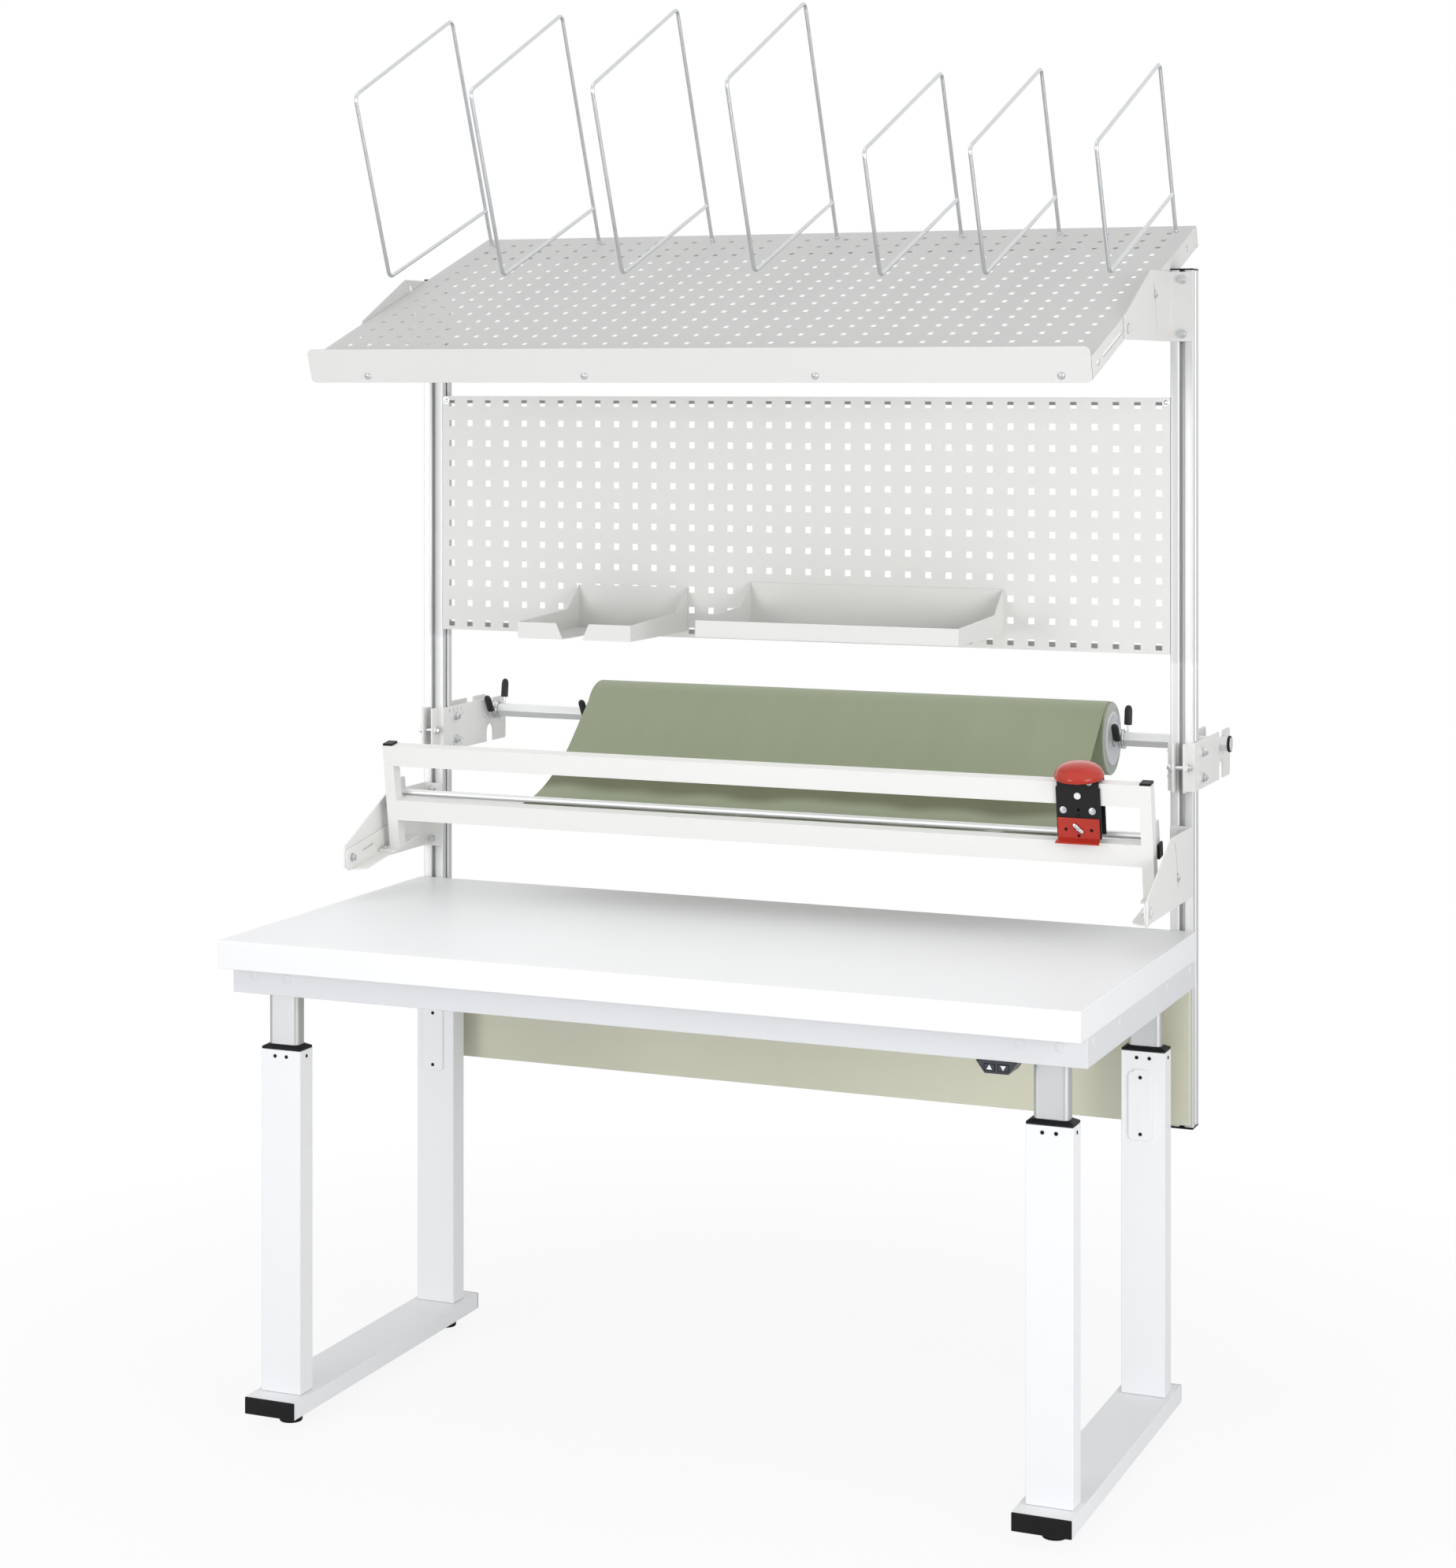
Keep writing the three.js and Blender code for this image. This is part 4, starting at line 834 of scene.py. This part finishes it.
def make_perforated_panel():
    half = upright_inner - clearance
    counts = (37, 12)
    middle = board_head - 0.0138 - (counts[1] - 1) * hole_pitch / 2
    margins = ((0, -1, -half), (0, 1, half), (1, -1, board_foot - middle), (1, 1, board_head - middle))
    sheet = punched_sheet(counts, (hole_pitch, hole_pitch), (0.0118, 0.0118), 0, margins, 0.0018)
    sheet.data.transform(Matrix.Rotation(math.radians(90), 4, "X"))
    sheet.data.transform(Matrix.Translation((0, upright_front, middle)))
    thick = 0.002
    front = upright_front + 0.0004
    back = upright_front + 0.02
    rim = []
    for z, way in ((board_foot, 1), (board_head, -1)):
        rim.append(board((-half, front, z), (half, back, z + way * thick), 0.0007))
        rim.append(board((-half, back - thick, z + way * 0.0005), (half, back, z + way * 0.0138), 0.0006))
    for sign in (-1, 1):
        low = (sign * half, front, board_foot + 0.001)
        high = (sign * (half - thick), back, board_head - 0.001)
        rim.append(board(low, high, 0.0006))
    panel = smooth(joined([sheet] + rim))
    finish(panel, "perforated_panel_sheet", grey_coat, "lift", ["perforated_panel"])
    screws = [((sign * 0.6968, upright_front, board_head - 0.0082), (0, -1, 0)) for _, sign in sides]
    fasteners("pan", screws, "panel_screws", "lift", 1.15)


# Tilt brackets
def make_tilt_bracket(kind, side, sign, pivot_high, bottom, outer):
    eased(f"{kind}_bracket_{side}", grey_coat, "lift", 0.0006, 2)
    x = sign * (upright_inner + 0.021)
    bolts = [((x, bracket_face, bottom + z), (0, -1, 0)) for z in (0.013, 0.107)]
    fasteners("hex", bolts, f"{kind}_bracket_bolts_{side}", "lift", 0.98)
    pivot = (sign * (outer + 0.0005), pivot_deep, pivot_high)
    fasteners("pan", [(pivot, (sign, 0, 0))], f"{kind}_pivot_screw_{side}", "lift", 1.55)


def make_lock_screw(kind, side, sign, outside):
    point = (sign * (outside + 0.0005), lock_deep, 0)
    fasteners("pan", [(point, (sign, 0, 0))], f"{kind}_lock_screw_{side}", kind, 1.3)


# Shelf with its dividers, in the frame of the tilting deck
def make_shelf():
    half = shelf_half
    front = -shelf_ahead
    rear = shelf_behind
    reach = (rear - front) / 2
    shift = -0.002
    margins = ((0, -1, -half), (0, 1, half), (1, -1, -reach - shift), (1, 1, reach - shift))
    deck = punched_sheet((36, 16), (hole_pitch, 0.0445), (0.0096, 0.0156), 0.0015, margins, 0.0015)
    deck.data.transform(Matrix.Translation((0, (front + rear) / 2 + shift, deck_rise)))
    low = -flange_drop
    top = deck_rise - 0.0006
    thick = 0.002
    walls = []
    for sign in (-1, 1):
        wall = board((sign * half, front, low), (sign * (half - thick), rear, top), 0.0006)
        outer = sign * (half + 0.01)
        inner = sign * (half - thick - 0.01)
        slots = [
            board((inner, front + 0.031, -0.0015), (outer, front + 0.051, 0.0065), 0.0025),
            board((inner, front + 0.072, 0), (outer, front + 0.198, 0.0058), 0.0025),
            board((inner, rear - 0.086, 0), (outer, rear - 0.074, 0.011), 0.001),
            disc((min(inner, outer), 0, 0), (1, 0, 0), 0.0046, 0.03, 0, 20),
        ]
        walls.append(carved(wall, slots))
    walls.append(board((-half, front, low), (half, front + thick, top), 0.0006))
    walls.append(board((-half, rear - thick, low), (half, rear, top), 0.0006))
    walls.append(board((-half, rear - 0.014, low), (half, rear, low + thick), 0.0005))
    finish(smooth(joined([deck] + walls)), "shelf_deck_sheet", grey_coat, "shelf", ["shelf_deck"])
    eased("shelf_lip", grey_coat, "shelf", 0.0007, 2)
    face = front - clearance - thick
    screws = [((x, face, -0.006), (0, -1, 0)) for x in (-0.59, -0.176, 0.239, 0.654)]
    fasteners("pan", screws, "lip_screws", "shelf", 1.15)
    for side, sign in sides:
        make_lock_screw("shelf", side, sign, upright_inner + bracket_sheet)


def rounded_path(corners, bend, steps):
    path = [Vector(corners[0])]
    for before, corner, after in zip(corners, corners[1:], corners[2:]):
        corner = Vector(corner)
        start = corner + (Vector(before) - corner).normalized() * bend
        end = corner + (Vector(after) - corner).normalized() * bend
        for k in range(steps + 1):
            t = k / steps
            path.append((1 - t) ** 2 * start + 2 * t * (1 - t) * corner + t * t * end)
    path.append(Vector(corners[-1]))
    return path


def make_divider(number, share, high, deep, fall):
    x = share * shelf_half
    lean = math.radians(3.9)
    foot_deep = shelf_behind - 0.036

    def post(length):
        return (foot_deep - length * math.sin(lean), deck_rise + length * math.cos(lean))

    rear = post(high)
    junction = post(0.07)
    front = (rear[0] - deep * math.cos(fall), rear[1] - deep * math.sin(fall))
    slope = math.tan(math.radians(1))
    drop = front[1] - junction[1] + (junction[0] - front[0]) * slope
    leg = drop / (math.cos(lean) + math.sin(lean) * slope)
    bottom = (front[0] + leg * math.sin(lean), front[1] - leg * math.cos(lean))
    corners = [(x, *point) for point in (post(-0.012), rear, front, bottom, junction)]
    loop = wire(rounded_path(corners, 0.014, 8), 0.0035, 6)
    along = (0, -math.sin(lean), math.cos(lean))
    collar = disc((x, *post(0.0002)), along, 0.0046, 0.003, 0.0008, 20)
    weld = disc((x, *post(0.066)), along, 0.004, 0.007, 0.0012, 16)
    name = f"divider_{number}"
    finish(joined([loop, collar, weld]), name + "_wire", zinc, "shelf", [name])


# Roll holder
def rear_corners(piece):
    """A test for the edges across a roll bracket's plates at their two rear corners."""
    points = [vertex.co for vertex in piece.data.vertices]
    rear = max(point.y for point in points) - 0.0005
    low = min(point.z for point in points) + 0.0005
    high = max(point.z for point in points) - 0.0005

    def chosen(a, b):
        across = abs(a.y - b.y) < 1e-5 and abs(a.z - b.z) < 1e-5
        return across and a.y > rear and not low < a.z < high

    return chosen


def make_roll_holder(side, sign):
    node = "roll_bracket_" + side
    piece = copy_of(node)
    bolt_deep = upright_rear + 0.0043
    bolt_rises = (1.10, 1.144)
    clamp_high = 1.122
    cut = 0.006
    holes = []
    for x in (sign * (upright_inner - 0.0018), sign * (upright_outer + 0.0018)):
        for bolt_rise, way in zip(bolt_rises, (-1, 1)):
            marks = [(k * 0.0163 - 0.02, 0.0115) for k in range(4)] + [(0.0345, 0.0025)]
            for along, rise in marks:
                y = bolt_deep - mid_plan + along
                z = bolt_rise + way * rise
                low = (x - cut, y - 0.0018, z - 0.0034)
                high = (x + cut, y + 0.0018, z + 0.0034)
                holes.append(board(low, high, 0))
        for y in (0.927, 0.976):
            holes.append(disc((x - cut, y - mid_plan, 1.128), (1, 0, 0), 0.0026, 2 * cut, 0, 12))
    bevel_edges(piece, rear_corners(piece), 0.006, 4)
    carved(piece, holes)
    finish_copy(rounded(piece, 0.0005), node, node + "_plates", grey_coat, "lift")
    bolts = []
    for z in bolt_rises:
        bolts.append(((sign * (upright_inner - 0.0073), bolt_deep, z), (-sign, 0, 0)))
        bolts.append(((sign * (upright_outer + 0.0073), bolt_deep, z), (sign, 0, 0)))
    fasteners("hex", bolts, "roll_bracket_bolts_" + side, "lift")
    clamp_deep = bracket_face - 0.011
    heads = [
        ((sign * (upright_inner + 0.005), clamp_deep, clamp_high), (-sign, 0, 0)),
        ((sign * (upright_outer - 0.005), clamp_deep, clamp_high), (sign, 0, 0)),
    ]
    fasteners("hex", heads, "clamp_bolt_heads_" + side, "lift", 0.9)
    start = (sign * (upright_inner + 0.009), clamp_deep, clamp_high)
    shank = disc(start, (sign, 0, 0), 0.0041, 0.022, 0.0003, 20)
    finish(shank, "clamp_bolt_shank_" + side, zinc, "lift")
    start = (sign * (top_half + 0.0102), shaft_deep, shaft_high)
    cap = disc(start, (sign, 0, 0), 0.0148, 0.0047, 0.0014, 24)
    finish(cap, "shaft_cap_" + side, black_plastic, "lift")


def make_roll():
    rim = 0.0014
    core = 0.0385
    centre = (0, shaft_deep, shaft_high)
    outline = [
        (core, roll_left), (roll_radius - rim, roll_left), (roll_radius, roll_left + rim),
        (roll_radius, roll_right - rim), (roll_radius - rim, roll_right), (core, roll_right),
        (core, roll_left),
    ]
    wound = revolved(outline, centre, (1, 0, 0), 96)
    finish(wound, "film_roll_wound", film, "roll", ["film_roll"])
    wound.data.materials.append(film_edge)
    for polygon in wound.data.polygons:
        if abs(polygon.normal.x) > 0.9:
            polygon.material_index = 1
    left = roll_left - clearance
    right = roll_right + clearance
    bore = 0.0146
    tube = 0.034
    inset = 0.008
    flange = [
        (bore, left - 0.003), (0.0175, left - 0.003), (0.0185, left - 0.0018), (0.040, left - 0.0018),
        (0.0415, left - 0.003), (0.0472, left - 0.003), (0.048, left - 0.0022), (0.048, left), (0.038, left),
    ]
    far = [(radius, right + left - along) for radius, along in reversed(flange)]
    inside = [(bore, right - inset), (tube, right - inset), (tube, left + inset), (bore, left + inset)]
    hub = revolved(flange + far + inside + flange[:1], centre, (1, 0, 0), 64)
    finish(hub, "roll_core_flanges", white_plastic, "roll", ["roll_core"])


def make_collar(node, body, middle):
    """A wound spring collar whose two ends carry dipped grips."""
    coil = 0.0163
    turns = 2.43
    steps = 64
    long = turns * 0.0044
    start = math.radians(205)

    def around(angle, x):
        return Vector((x, shaft_deep + coil * math.cos(angle), shaft_high + coil * math.sin(angle)))

    def tail(angle, way):
        tangent = Vector((0, -math.sin(angle), math.cos(angle))) * way
        outward = Vector((0, math.cos(angle), math.sin(angle)))
        return (tangent + outward * 0.12).normalized()

    turn = turns * 2 * math.pi
    points = []
    for i in range(steps + 1):
        points.append(around(start + turn * i / steps, middle - long / 2 + long * i / steps))
    lead = tail(start, -1)
    follow = tail(start + turn, 1)
    first = points[0] + lead * 0.014
    last = points[-1] + follow * 0.03
    finish(wire([first] + points + [last], 0.0016, 3), node + "_wire", zinc, body, [node])
    dipped = [
        (0, 0), (0.0062, 0.0002), (0.0070, 0.001), (0.0072, 0.006), (0.0071, 0.026), (0.0066, 0.030),
        (0.0051, 0.0336), (0.0028, 0.0356), (0, 0.0362),
    ]
    for number, seat, way in ((1, first, lead), (2, last, follow)):
        grip = revolved(dipped, origin, up, 24)
        grip.data.transform(Matrix.Diagonal((1, 0.76, 1, 1)))
        grip.data.transform(Matrix.Translation(seat - way * 0.0065) @ turned_to(way))
        finish(grip, f"{node}_grip_{number}", grip_black, body)


def web_route():
    """The film's way from the roll to the bar, as points across the table's depth."""

    def from_cutter(y, z):
        return (
            pivot_deep + y * math.cos(cutter_lean) - z * math.sin(cutter_lean),
            cutter_pivot_high + y * math.sin(cutter_lean) + z * math.cos(cutter_lean),
        )

    reach = roll_radius + 0.0008
    wrap = []
    for i in range(9):
        angle = math.radians(89 + 5 * i)
        wrap.append((shaft_deep + reach * math.cos(angle), shaft_high + reach * math.sin(angle)))
    start = wrap[-1]
    lay = rail_top + 0.0015
    entry = from_cutter(post_rear + 0.0263, lay)
    end = from_cutter(post_rear + 0.0103, lay)
    between = []
    for a, b in ((0.2, 0.285), (0.41, 0.585), (0.64, 0.82), (0.85, 0.955)):
        between.append((start[0] + (entry[0] - start[0]) * a, start[1] + (entry[1] - start[1]) * b))
    return wrap + between + [entry, end]


def smooth_route(knots, steps):
    """A smooth line that passes through every knot."""
    line = []
    for i in range(len(knots) - 1):
        p0 = Vector(knots[max(i - 1, 0)])
        p1 = Vector(knots[i])
        p2 = Vector(knots[i + 1])
        p3 = Vector(knots[min(i + 2, len(knots) - 1)])
        first = p2 - p0
        second = 2 * p0 - 5 * p1 + 4 * p2 - p3
        third = 3 * p1 - p0 - 3 * p2 + p3
        for k in range(steps):
            t = k / steps
            line.append(0.5 * (2 * p1 + first * t + second * t * t + third * t ** 3))
    line.append(Vector(knots[-1]))
    return line


def make_web():
    line = smooth_route(web_route(), 5)
    left = roll_left + 0.004
    right = roll_right - 0.004
    columns = 60
    wide = columns + 1
    points = []
    cut = []
    length = 0
    for i, (y, z) in enumerate(line):
        if i:
            length += (Vector(line[i]) - Vector(line[i - 1])).length
        free = min(max((i - 40) / 12, 0), 1) * min(max((len(line) - 1 - i) / 10, 0), 1)
        for k in range(wide):
            share = k / columns
            x = left + (right - left) * share
            wave = 0.0035 * math.sin(share * 19 + 0.4) * math.sin(share * 7 + 1)
            wave += 0.002 * math.sin(share * 41)
            points.append((x, y + wave * free * 0.5, z + wave * free))
            cut.append((x, length))
    faces = []
    for i in range(len(line) - 1):
        for k in range(columns):
            a = i * wide + k
            faces.append((a, a + wide, a + wide + 1, a + 1))
    web = mesh_piece("web", points, [], faces)
    layer = web.data.uv_layers.new(name="cut")
    for loop in web.data.loops:
        layer.data[loop.index].uv = cut[loop.vertex_index]
    modified(web, "SOLIDIFY", thickness=0.0005, offset=0.0)
    smooth(outwards(web), 60)
    dressed(web, "film_web_sheet", hung_film, table_place, ["film_web"])
    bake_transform(web)


# Film cutter, in the frame of the tilting cutter
def make_tilt_arm(side, sign):
    thick = 0.003
    wide = 0.03
    low = -0.022
    outer = upright_outer - bracket_sheet - 0.0005
    face = sign * outer
    inner = sign * (outer - thick)
    web = board((face, -0.02, low), (inner, 0.225, 0.018), 0)
    bevel_edges(web, lambda a, b: abs(a.x - b.x) > 0.001, 0.011, 6)
    slot = board((face + sign * 0.01, 0.042, -0.001), (inner - sign * 0.01, 0.082, 0.004), 0.0015)
    carved(web, [slot])
    rounded(web, 0.0006)
    inside = sign * (outer - wide)
    flange = board((face, -0.004, low), (inside, 0.222, low + thick), 0)
    bevel_edges(flange, lambda a, b: abs(a.z - b.z) > 0.001 and abs(a.x - inside) < 1e-5, 0.012, 2)
    rounded(flange, 0.0006)
    finish(joined([web, flange]), "tilt_arm_plate_" + side, grey_coat, "cutter", ["tilt_arm_" + side])
    nuts = [((inner, y, 0), (-sign, 0, 0)) for y in (0, lock_deep)]
    fasteners("hex", nuts, "tilt_arm_nuts_" + side, "cutter", 0.95)


def make_cutter():
    eased("cutter_frame", grey_coat, "cutter", 0.0012, 3)
    arm_floor = -0.019
    foot_plate = 0.004
    foot_top = arm_floor + clearance + foot_plate
    for side, sign in sides:
        make_tilt_arm(side, sign)
        low = (sign * (0.702 + 0.0004), post_ahead + 0.0004, post_top - 0.001)
        high = (sign * (cutter_half - 0.0004), post_rear - 0.0004, post_top + 0.004)
        finish(board(low, high, 0.0014, 3), "post_plug_" + side, black_plastic, "cutter")
        low = (sign * (cutter_half + 0.0001), post_rear + clearance, rail_top - 0.0262)
        high = (sign * (cutter_half + 0.0045), post_rear + 0.0265, rail_top)
        finish(board(low, high, 0.0022, 3), "rail_cap_cutter_" + side, black_plastic, "cutter")
        make_lock_screw("cutter", side, sign, upright_outer)
        bolts = [((sign * x, y, foot_top), up) for x, y in ((0.726, post_ahead - 0.0095), (0.729, 0.129))]
        fasteners("hex", bolts, "post_foot_bolts_" + side, "cutter", 0.62)
    eased("cutter_rail", bar_metal, "cutter", 0.0008, 2)
    make_hold_down_bar()


def make_hold_down_bar():
    end = cutter_half - clearance
    block_long = 0.016
    start = (-end + block_long / 2, post_rear + 0.016, rail_top + 0.009)
    bar = smooth(disc(start, (1, 0, 0), 0.006, 2 * end - block_long, 0, 32))
    low = rail_top + clearance
    ends = []
    for sign in (-1, 1):
        near = (sign * end, post_rear + clearance, low)
        far = (sign * (end - block_long), post_rear + 0.0243, low + 0.039)
        block = board(near, far, 0)
        upper = rail_top + 0.02
        bevel_edges(block, lambda a, b: abs(a.x - b.x) > 0.001 and (a.z + b.z) / 2 > upper, 0.008, 6)
        ends.append(rounded(block, 0.0006))
    finish(joined([bar] + ends), "hold_down_rod", bar_metal, "cutter", ["hold_down_bar"])


def make_cutter_head():
    body = "cutter_head"
    half = 0.038
    notch = 0.0022
    x0 = head_place - half
    x1 = head_place + half
    front_rear = post_ahead - 0.0005
    front = front_rear - head_plate
    rear_front = post_rear + 0.0005
    rear = rear_front + head_plate
    bottom = post_top + 0.0005
    top = bottom + head_plate
    foot = top - 0.1
    plate = board((x0, front, foot), (x1, front_rear, top), 0)
    notches = [
        board((x0 - 0.01, front - 0.01, top - 0.012), (x0 + notch, rear + 0.01, top + 0.01), 0),
        board((x1 - notch, front - 0.01, top - 0.012), (x1 + 0.01, rear + 0.01, top + 0.01), 0),
    ]
    hole = disc((head_place, front - 0.01, top - 0.0505), (0, 1, 0), 0.003, 0.03, 0, 4)
    carved(plate, notches + [hole])
    rounded(plate, 0.0006)
    saddle = board((x0 + notch, front, bottom), (x1 - notch, rear, top), 0.0006)
    guide = board((x0 + 0.003, rear_front, foot), (x1, rear, top), 0.0008)
    blade_top = 0.13
    holder = board((head_place - 0.003, front, 0.0985), (head_place + 0.003, 0.1515, blade_top), 0.0005)
    edge = rail_top + 0.0006
    blade = board((head_place - 0.01, 0.15, edge), (head_place + 0.01, 0.1514, blade_top), 0.0003)
    piece = joined([plate, saddle, guide, holder, blade])
    finish(piece, "cutter_carriage_plates", black_coat, body, ["cutter_carriage"])
    make_blade_guard(front - clearance, body)
    make_knob(top + clearance, body)
    outline = [(0, 0.0022), (0.0034, 0.002), (0.0055, 0.0012), (0.006, 0), (0, 0)]
    rivet = revolved(outline, (head_place - 0.001, front, top - 0.0265), (0, -1, 0), 28)
    finish(rivet, "cutter_head_rivet", white_plastic, body)
    bolts = [((head_place + d, front, top - 0.0515), (0, -1, 0)) for d in (-0.026, 0.024)]
    fasteners("hex", bolts, "cutter_head_bolts", body, 0.72)
    screw = [((head_place + 0.02, front, top - 0.0015), (0, -1, 0))]
    fasteners("pan", screw, "cutter_head_top_screw", body)


def make_blade_guard(rear, body):
    half = 0.036
    front = rear - 0.0025
    foot = 0.082
    x0 = head_place - half
    x1 = head_place + half
    plate = board((x0, front, foot), (x1, rear, 0.119), 0)
    holes = []
    for d, rise, radius in ((-0.022, 0.017, 0.003), (0.022, 0.017, 0.003), (0, 0.0065, 0.0028)):
        holes.append(disc((head_place + d, front - 0.01, foot + rise), (0, 1, 0), radius, 0.03, 0, 16))
    carved(plate, holes)
    rounded(plate, 0.0004)
    toe_half = 0.0012
    toe = board((x0, front - 0.015, -toe_half), (x1, front + 0.0006, toe_half), 0)
    for vertex in toe.data.vertices:
        if vertex.co.y < front - 0.01:
            vertex.co.z -= 0.004
            vertex.co.x += math.copysign(0.002, vertex.co.x - head_place)
    toe.data.transform(Matrix.Translation((0, 0, foot + toe_half)))
    rounded(toe, 0.0005)
    finish(joined([plate, toe]), "blade_guard_plate", red_sheet, body, ["blade_guard"])
    nut_high = foot + 0.02
    nut = disc((head_place, front, nut_high), (0, -1, 0), 0.0036, 0.004, 0.0008, 20)
    stud = disc((head_place, front - 0.004, nut_high), (0, -1, 0), 0.0018, 0.0045, 0.0004, 16)
    wings = []
    for way in (-1, 1):
        start_clean()
        bpy.ops.mesh.primitive_uv_sphere_add(segments=20, ring_count=12, radius=1)
        wing = bpy.context.object
        wing.scale = (0.0052, 0.0011, 0.0034)
        wing.location = (way * 0.0062, 0, 0)
        apply_place(wing)
        wing.data.transform(Matrix.Rotation(math.radians(42), 4, "Y"))
        wing.data.transform(Matrix.Translation((head_place, front - 0.0035, nut_high)))
        wings.append(smooth(wing))
    finish(joined([nut, stud] + wings), "blade_guard_wing_nut", zinc, body)


def make_knob(base, body):
    outline = [
        (0, 0), (0.0385, 0), (0.0395, 0.0006), (0.0415, 0.002), (0.042, 0.0042), (0.042, 0.0088),
        (0.0412, 0.0098), (0.0404, 0.0108), (0.0392, 0.0142), (0.0366, 0.018), (0.0325, 0.0216),
        (0.0265, 0.0248), (0.019, 0.0272), (0.01, 0.0286), (0, 0.029),
    ]
    y = (post_ahead + post_rear) / 2 - 0.004
    knob = smooth(revolved(outline, (head_place, y, base), up, 64), 50)
    finish(knob, "cutter_knob_dome", red_dome, body, ["cutter_knob"])


def set_stage():
    """A pale floor that fades into a white surround, and a plain cool fill from all sides."""
    white = (1, 1, 1, 1)
    start_clean()
    bpy.ops.mesh.primitive_plane_add(size=30)
    floor = bpy.context.object
    floor.name = "studio_floor"
    material = bpy.data.materials.new("studio_floor")
    material.use_nodes = True
    material.node_tree.nodes.clear()
    ground = Nodes(material.node_tree)
    place = ground.node("ShaderNodeTexCoord", {}, {}, "Object")
    reach = ground.node("ShaderNodeVectorMath", {"operation": "LENGTH"}, {0: place}, "Value")
    fade = {"Value": reach, "From Min": 0.9, "From Max": 2.0, "To Min": 0.88, "To Max": 1.0}
    share = ground.node("ShaderNodeMapRange", {}, fade, "Result")
    share *= ground.node("ShaderNodeLightPath", {}, {}, "Is Camera Ray")
    matte = ground.node("ShaderNodeBsdfDiffuse", {}, {"Color": (0.86, 0.86, 0.865, 1)})
    glow = ground.node("ShaderNodeEmission", {}, {"Color": white})
    mix = ground.node("ShaderNodeMixShader", {}, {0: share, 1: matte, 2: glow})
    ground.node("ShaderNodeOutputMaterial", {}, {"Surface": mix})
    floor.data.materials.append(material)

    world = bpy.data.worlds.new("studio")
    bpy.context.scene.world = world
    world.use_nodes = True
    world.node_tree.nodes.clear()
    sky = Nodes(world.node_tree)
    camera_ray = sky.node("ShaderNodeLightPath", {}, {}, "Is Camera Ray")
    glossy_ray = sky.node("ShaderNodeLightPath", {}, {}, "Is Glossy Ray")
    seen = camera_ray.math("MAXIMUM", glossy_ray)
    fill = sky.node("ShaderNodeBackground", {}, {"Color": (0.97, 0.985, 1.0, 1), "Strength": 0.56})
    plain = sky.node("ShaderNodeBackground", {}, {"Color": white, "Strength": 1.0})
    mix = sky.node("ShaderNodeMixShader", {}, {0: seen, 1: fill, 2: plain})
    sky.node("ShaderNodeOutputWorld", {}, {"Surface": mix})
    bpy.context.scene.view_settings.view_transform = "Standard"


set_camera()
soft_light("key_light", (-2.5, -5.8, 1.35), (0, 0, 1.1), 2.8, 96)
soft_light("fill_light", (4.2, -2.6, 1.6), (0, 0, 1.0), 2.6, 90)
soft_light("top_light", (-0.6, -0.4, 4.8), (0, 0, 0.8), 3.0, 10)
soft_light("bench_light", (-0.1, -0.35, 1.3), (-0.1, -0.35, 0.84), 2.3, 5.2)
set_stage()

make_table()
for side, sign in sides:
    make_base(side, sign)
    make_leg(side, sign, "front", 0.086, 0.13)
    make_leg(side, sign, "rear", 0.667, 0.711)
    make_leg_cover(side, sign, 0.667)
    make_foot(side, sign, "front", 0.12)
    make_foot(side, sign, "rear", 0.708)
    make_upright(side, sign)
    make_roll_holder(side, sign)
    make_tilt_bracket("shelf", side, sign, shelf_pivot_high, 1.856, upright_inner + bracket_sheet)
    make_tilt_bracket("cutter", side, sign, cutter_pivot_high, 0.9, upright_outer)
make_drive()
eased("lower_panel", beige_coat, "lift", 0.0012, 2)
make_perforated_panel()
eased("large_tray", grey_coat, "lift", 0.0006, 2)
eased("small_tray", grey_coat, "lift", 0.0006, 2)
make_shelf()
tall_shares = (-0.965, -0.638, -0.305, 0.051)
low_shares = (0.394, 0.656, 0.959)
for number, share in enumerate(tall_shares, 1):
    make_divider(number, share, 0.4545, 0.423, math.radians(6))
for number, share in enumerate(low_shares, 1 + len(tall_shares)):
    make_divider(number, share, 0.312, 0.457, math.radians(3.2))
eased("roll_shaft", bar_metal, "lift", 0.0011, 2)
make_roll()
make_collar("spring_collar_bracket", "collar_bracket", -0.684)
make_collar("spring_collar_roll_left", "collar_left", roll_left - 0.019)
make_collar("spring_collar_roll_right", "collar_right", roll_right + 0.019)
make_web()
make_cutter()
make_cutter_head()
for fastener in patterns.values():
    bpy.data.objects.remove(fastener)
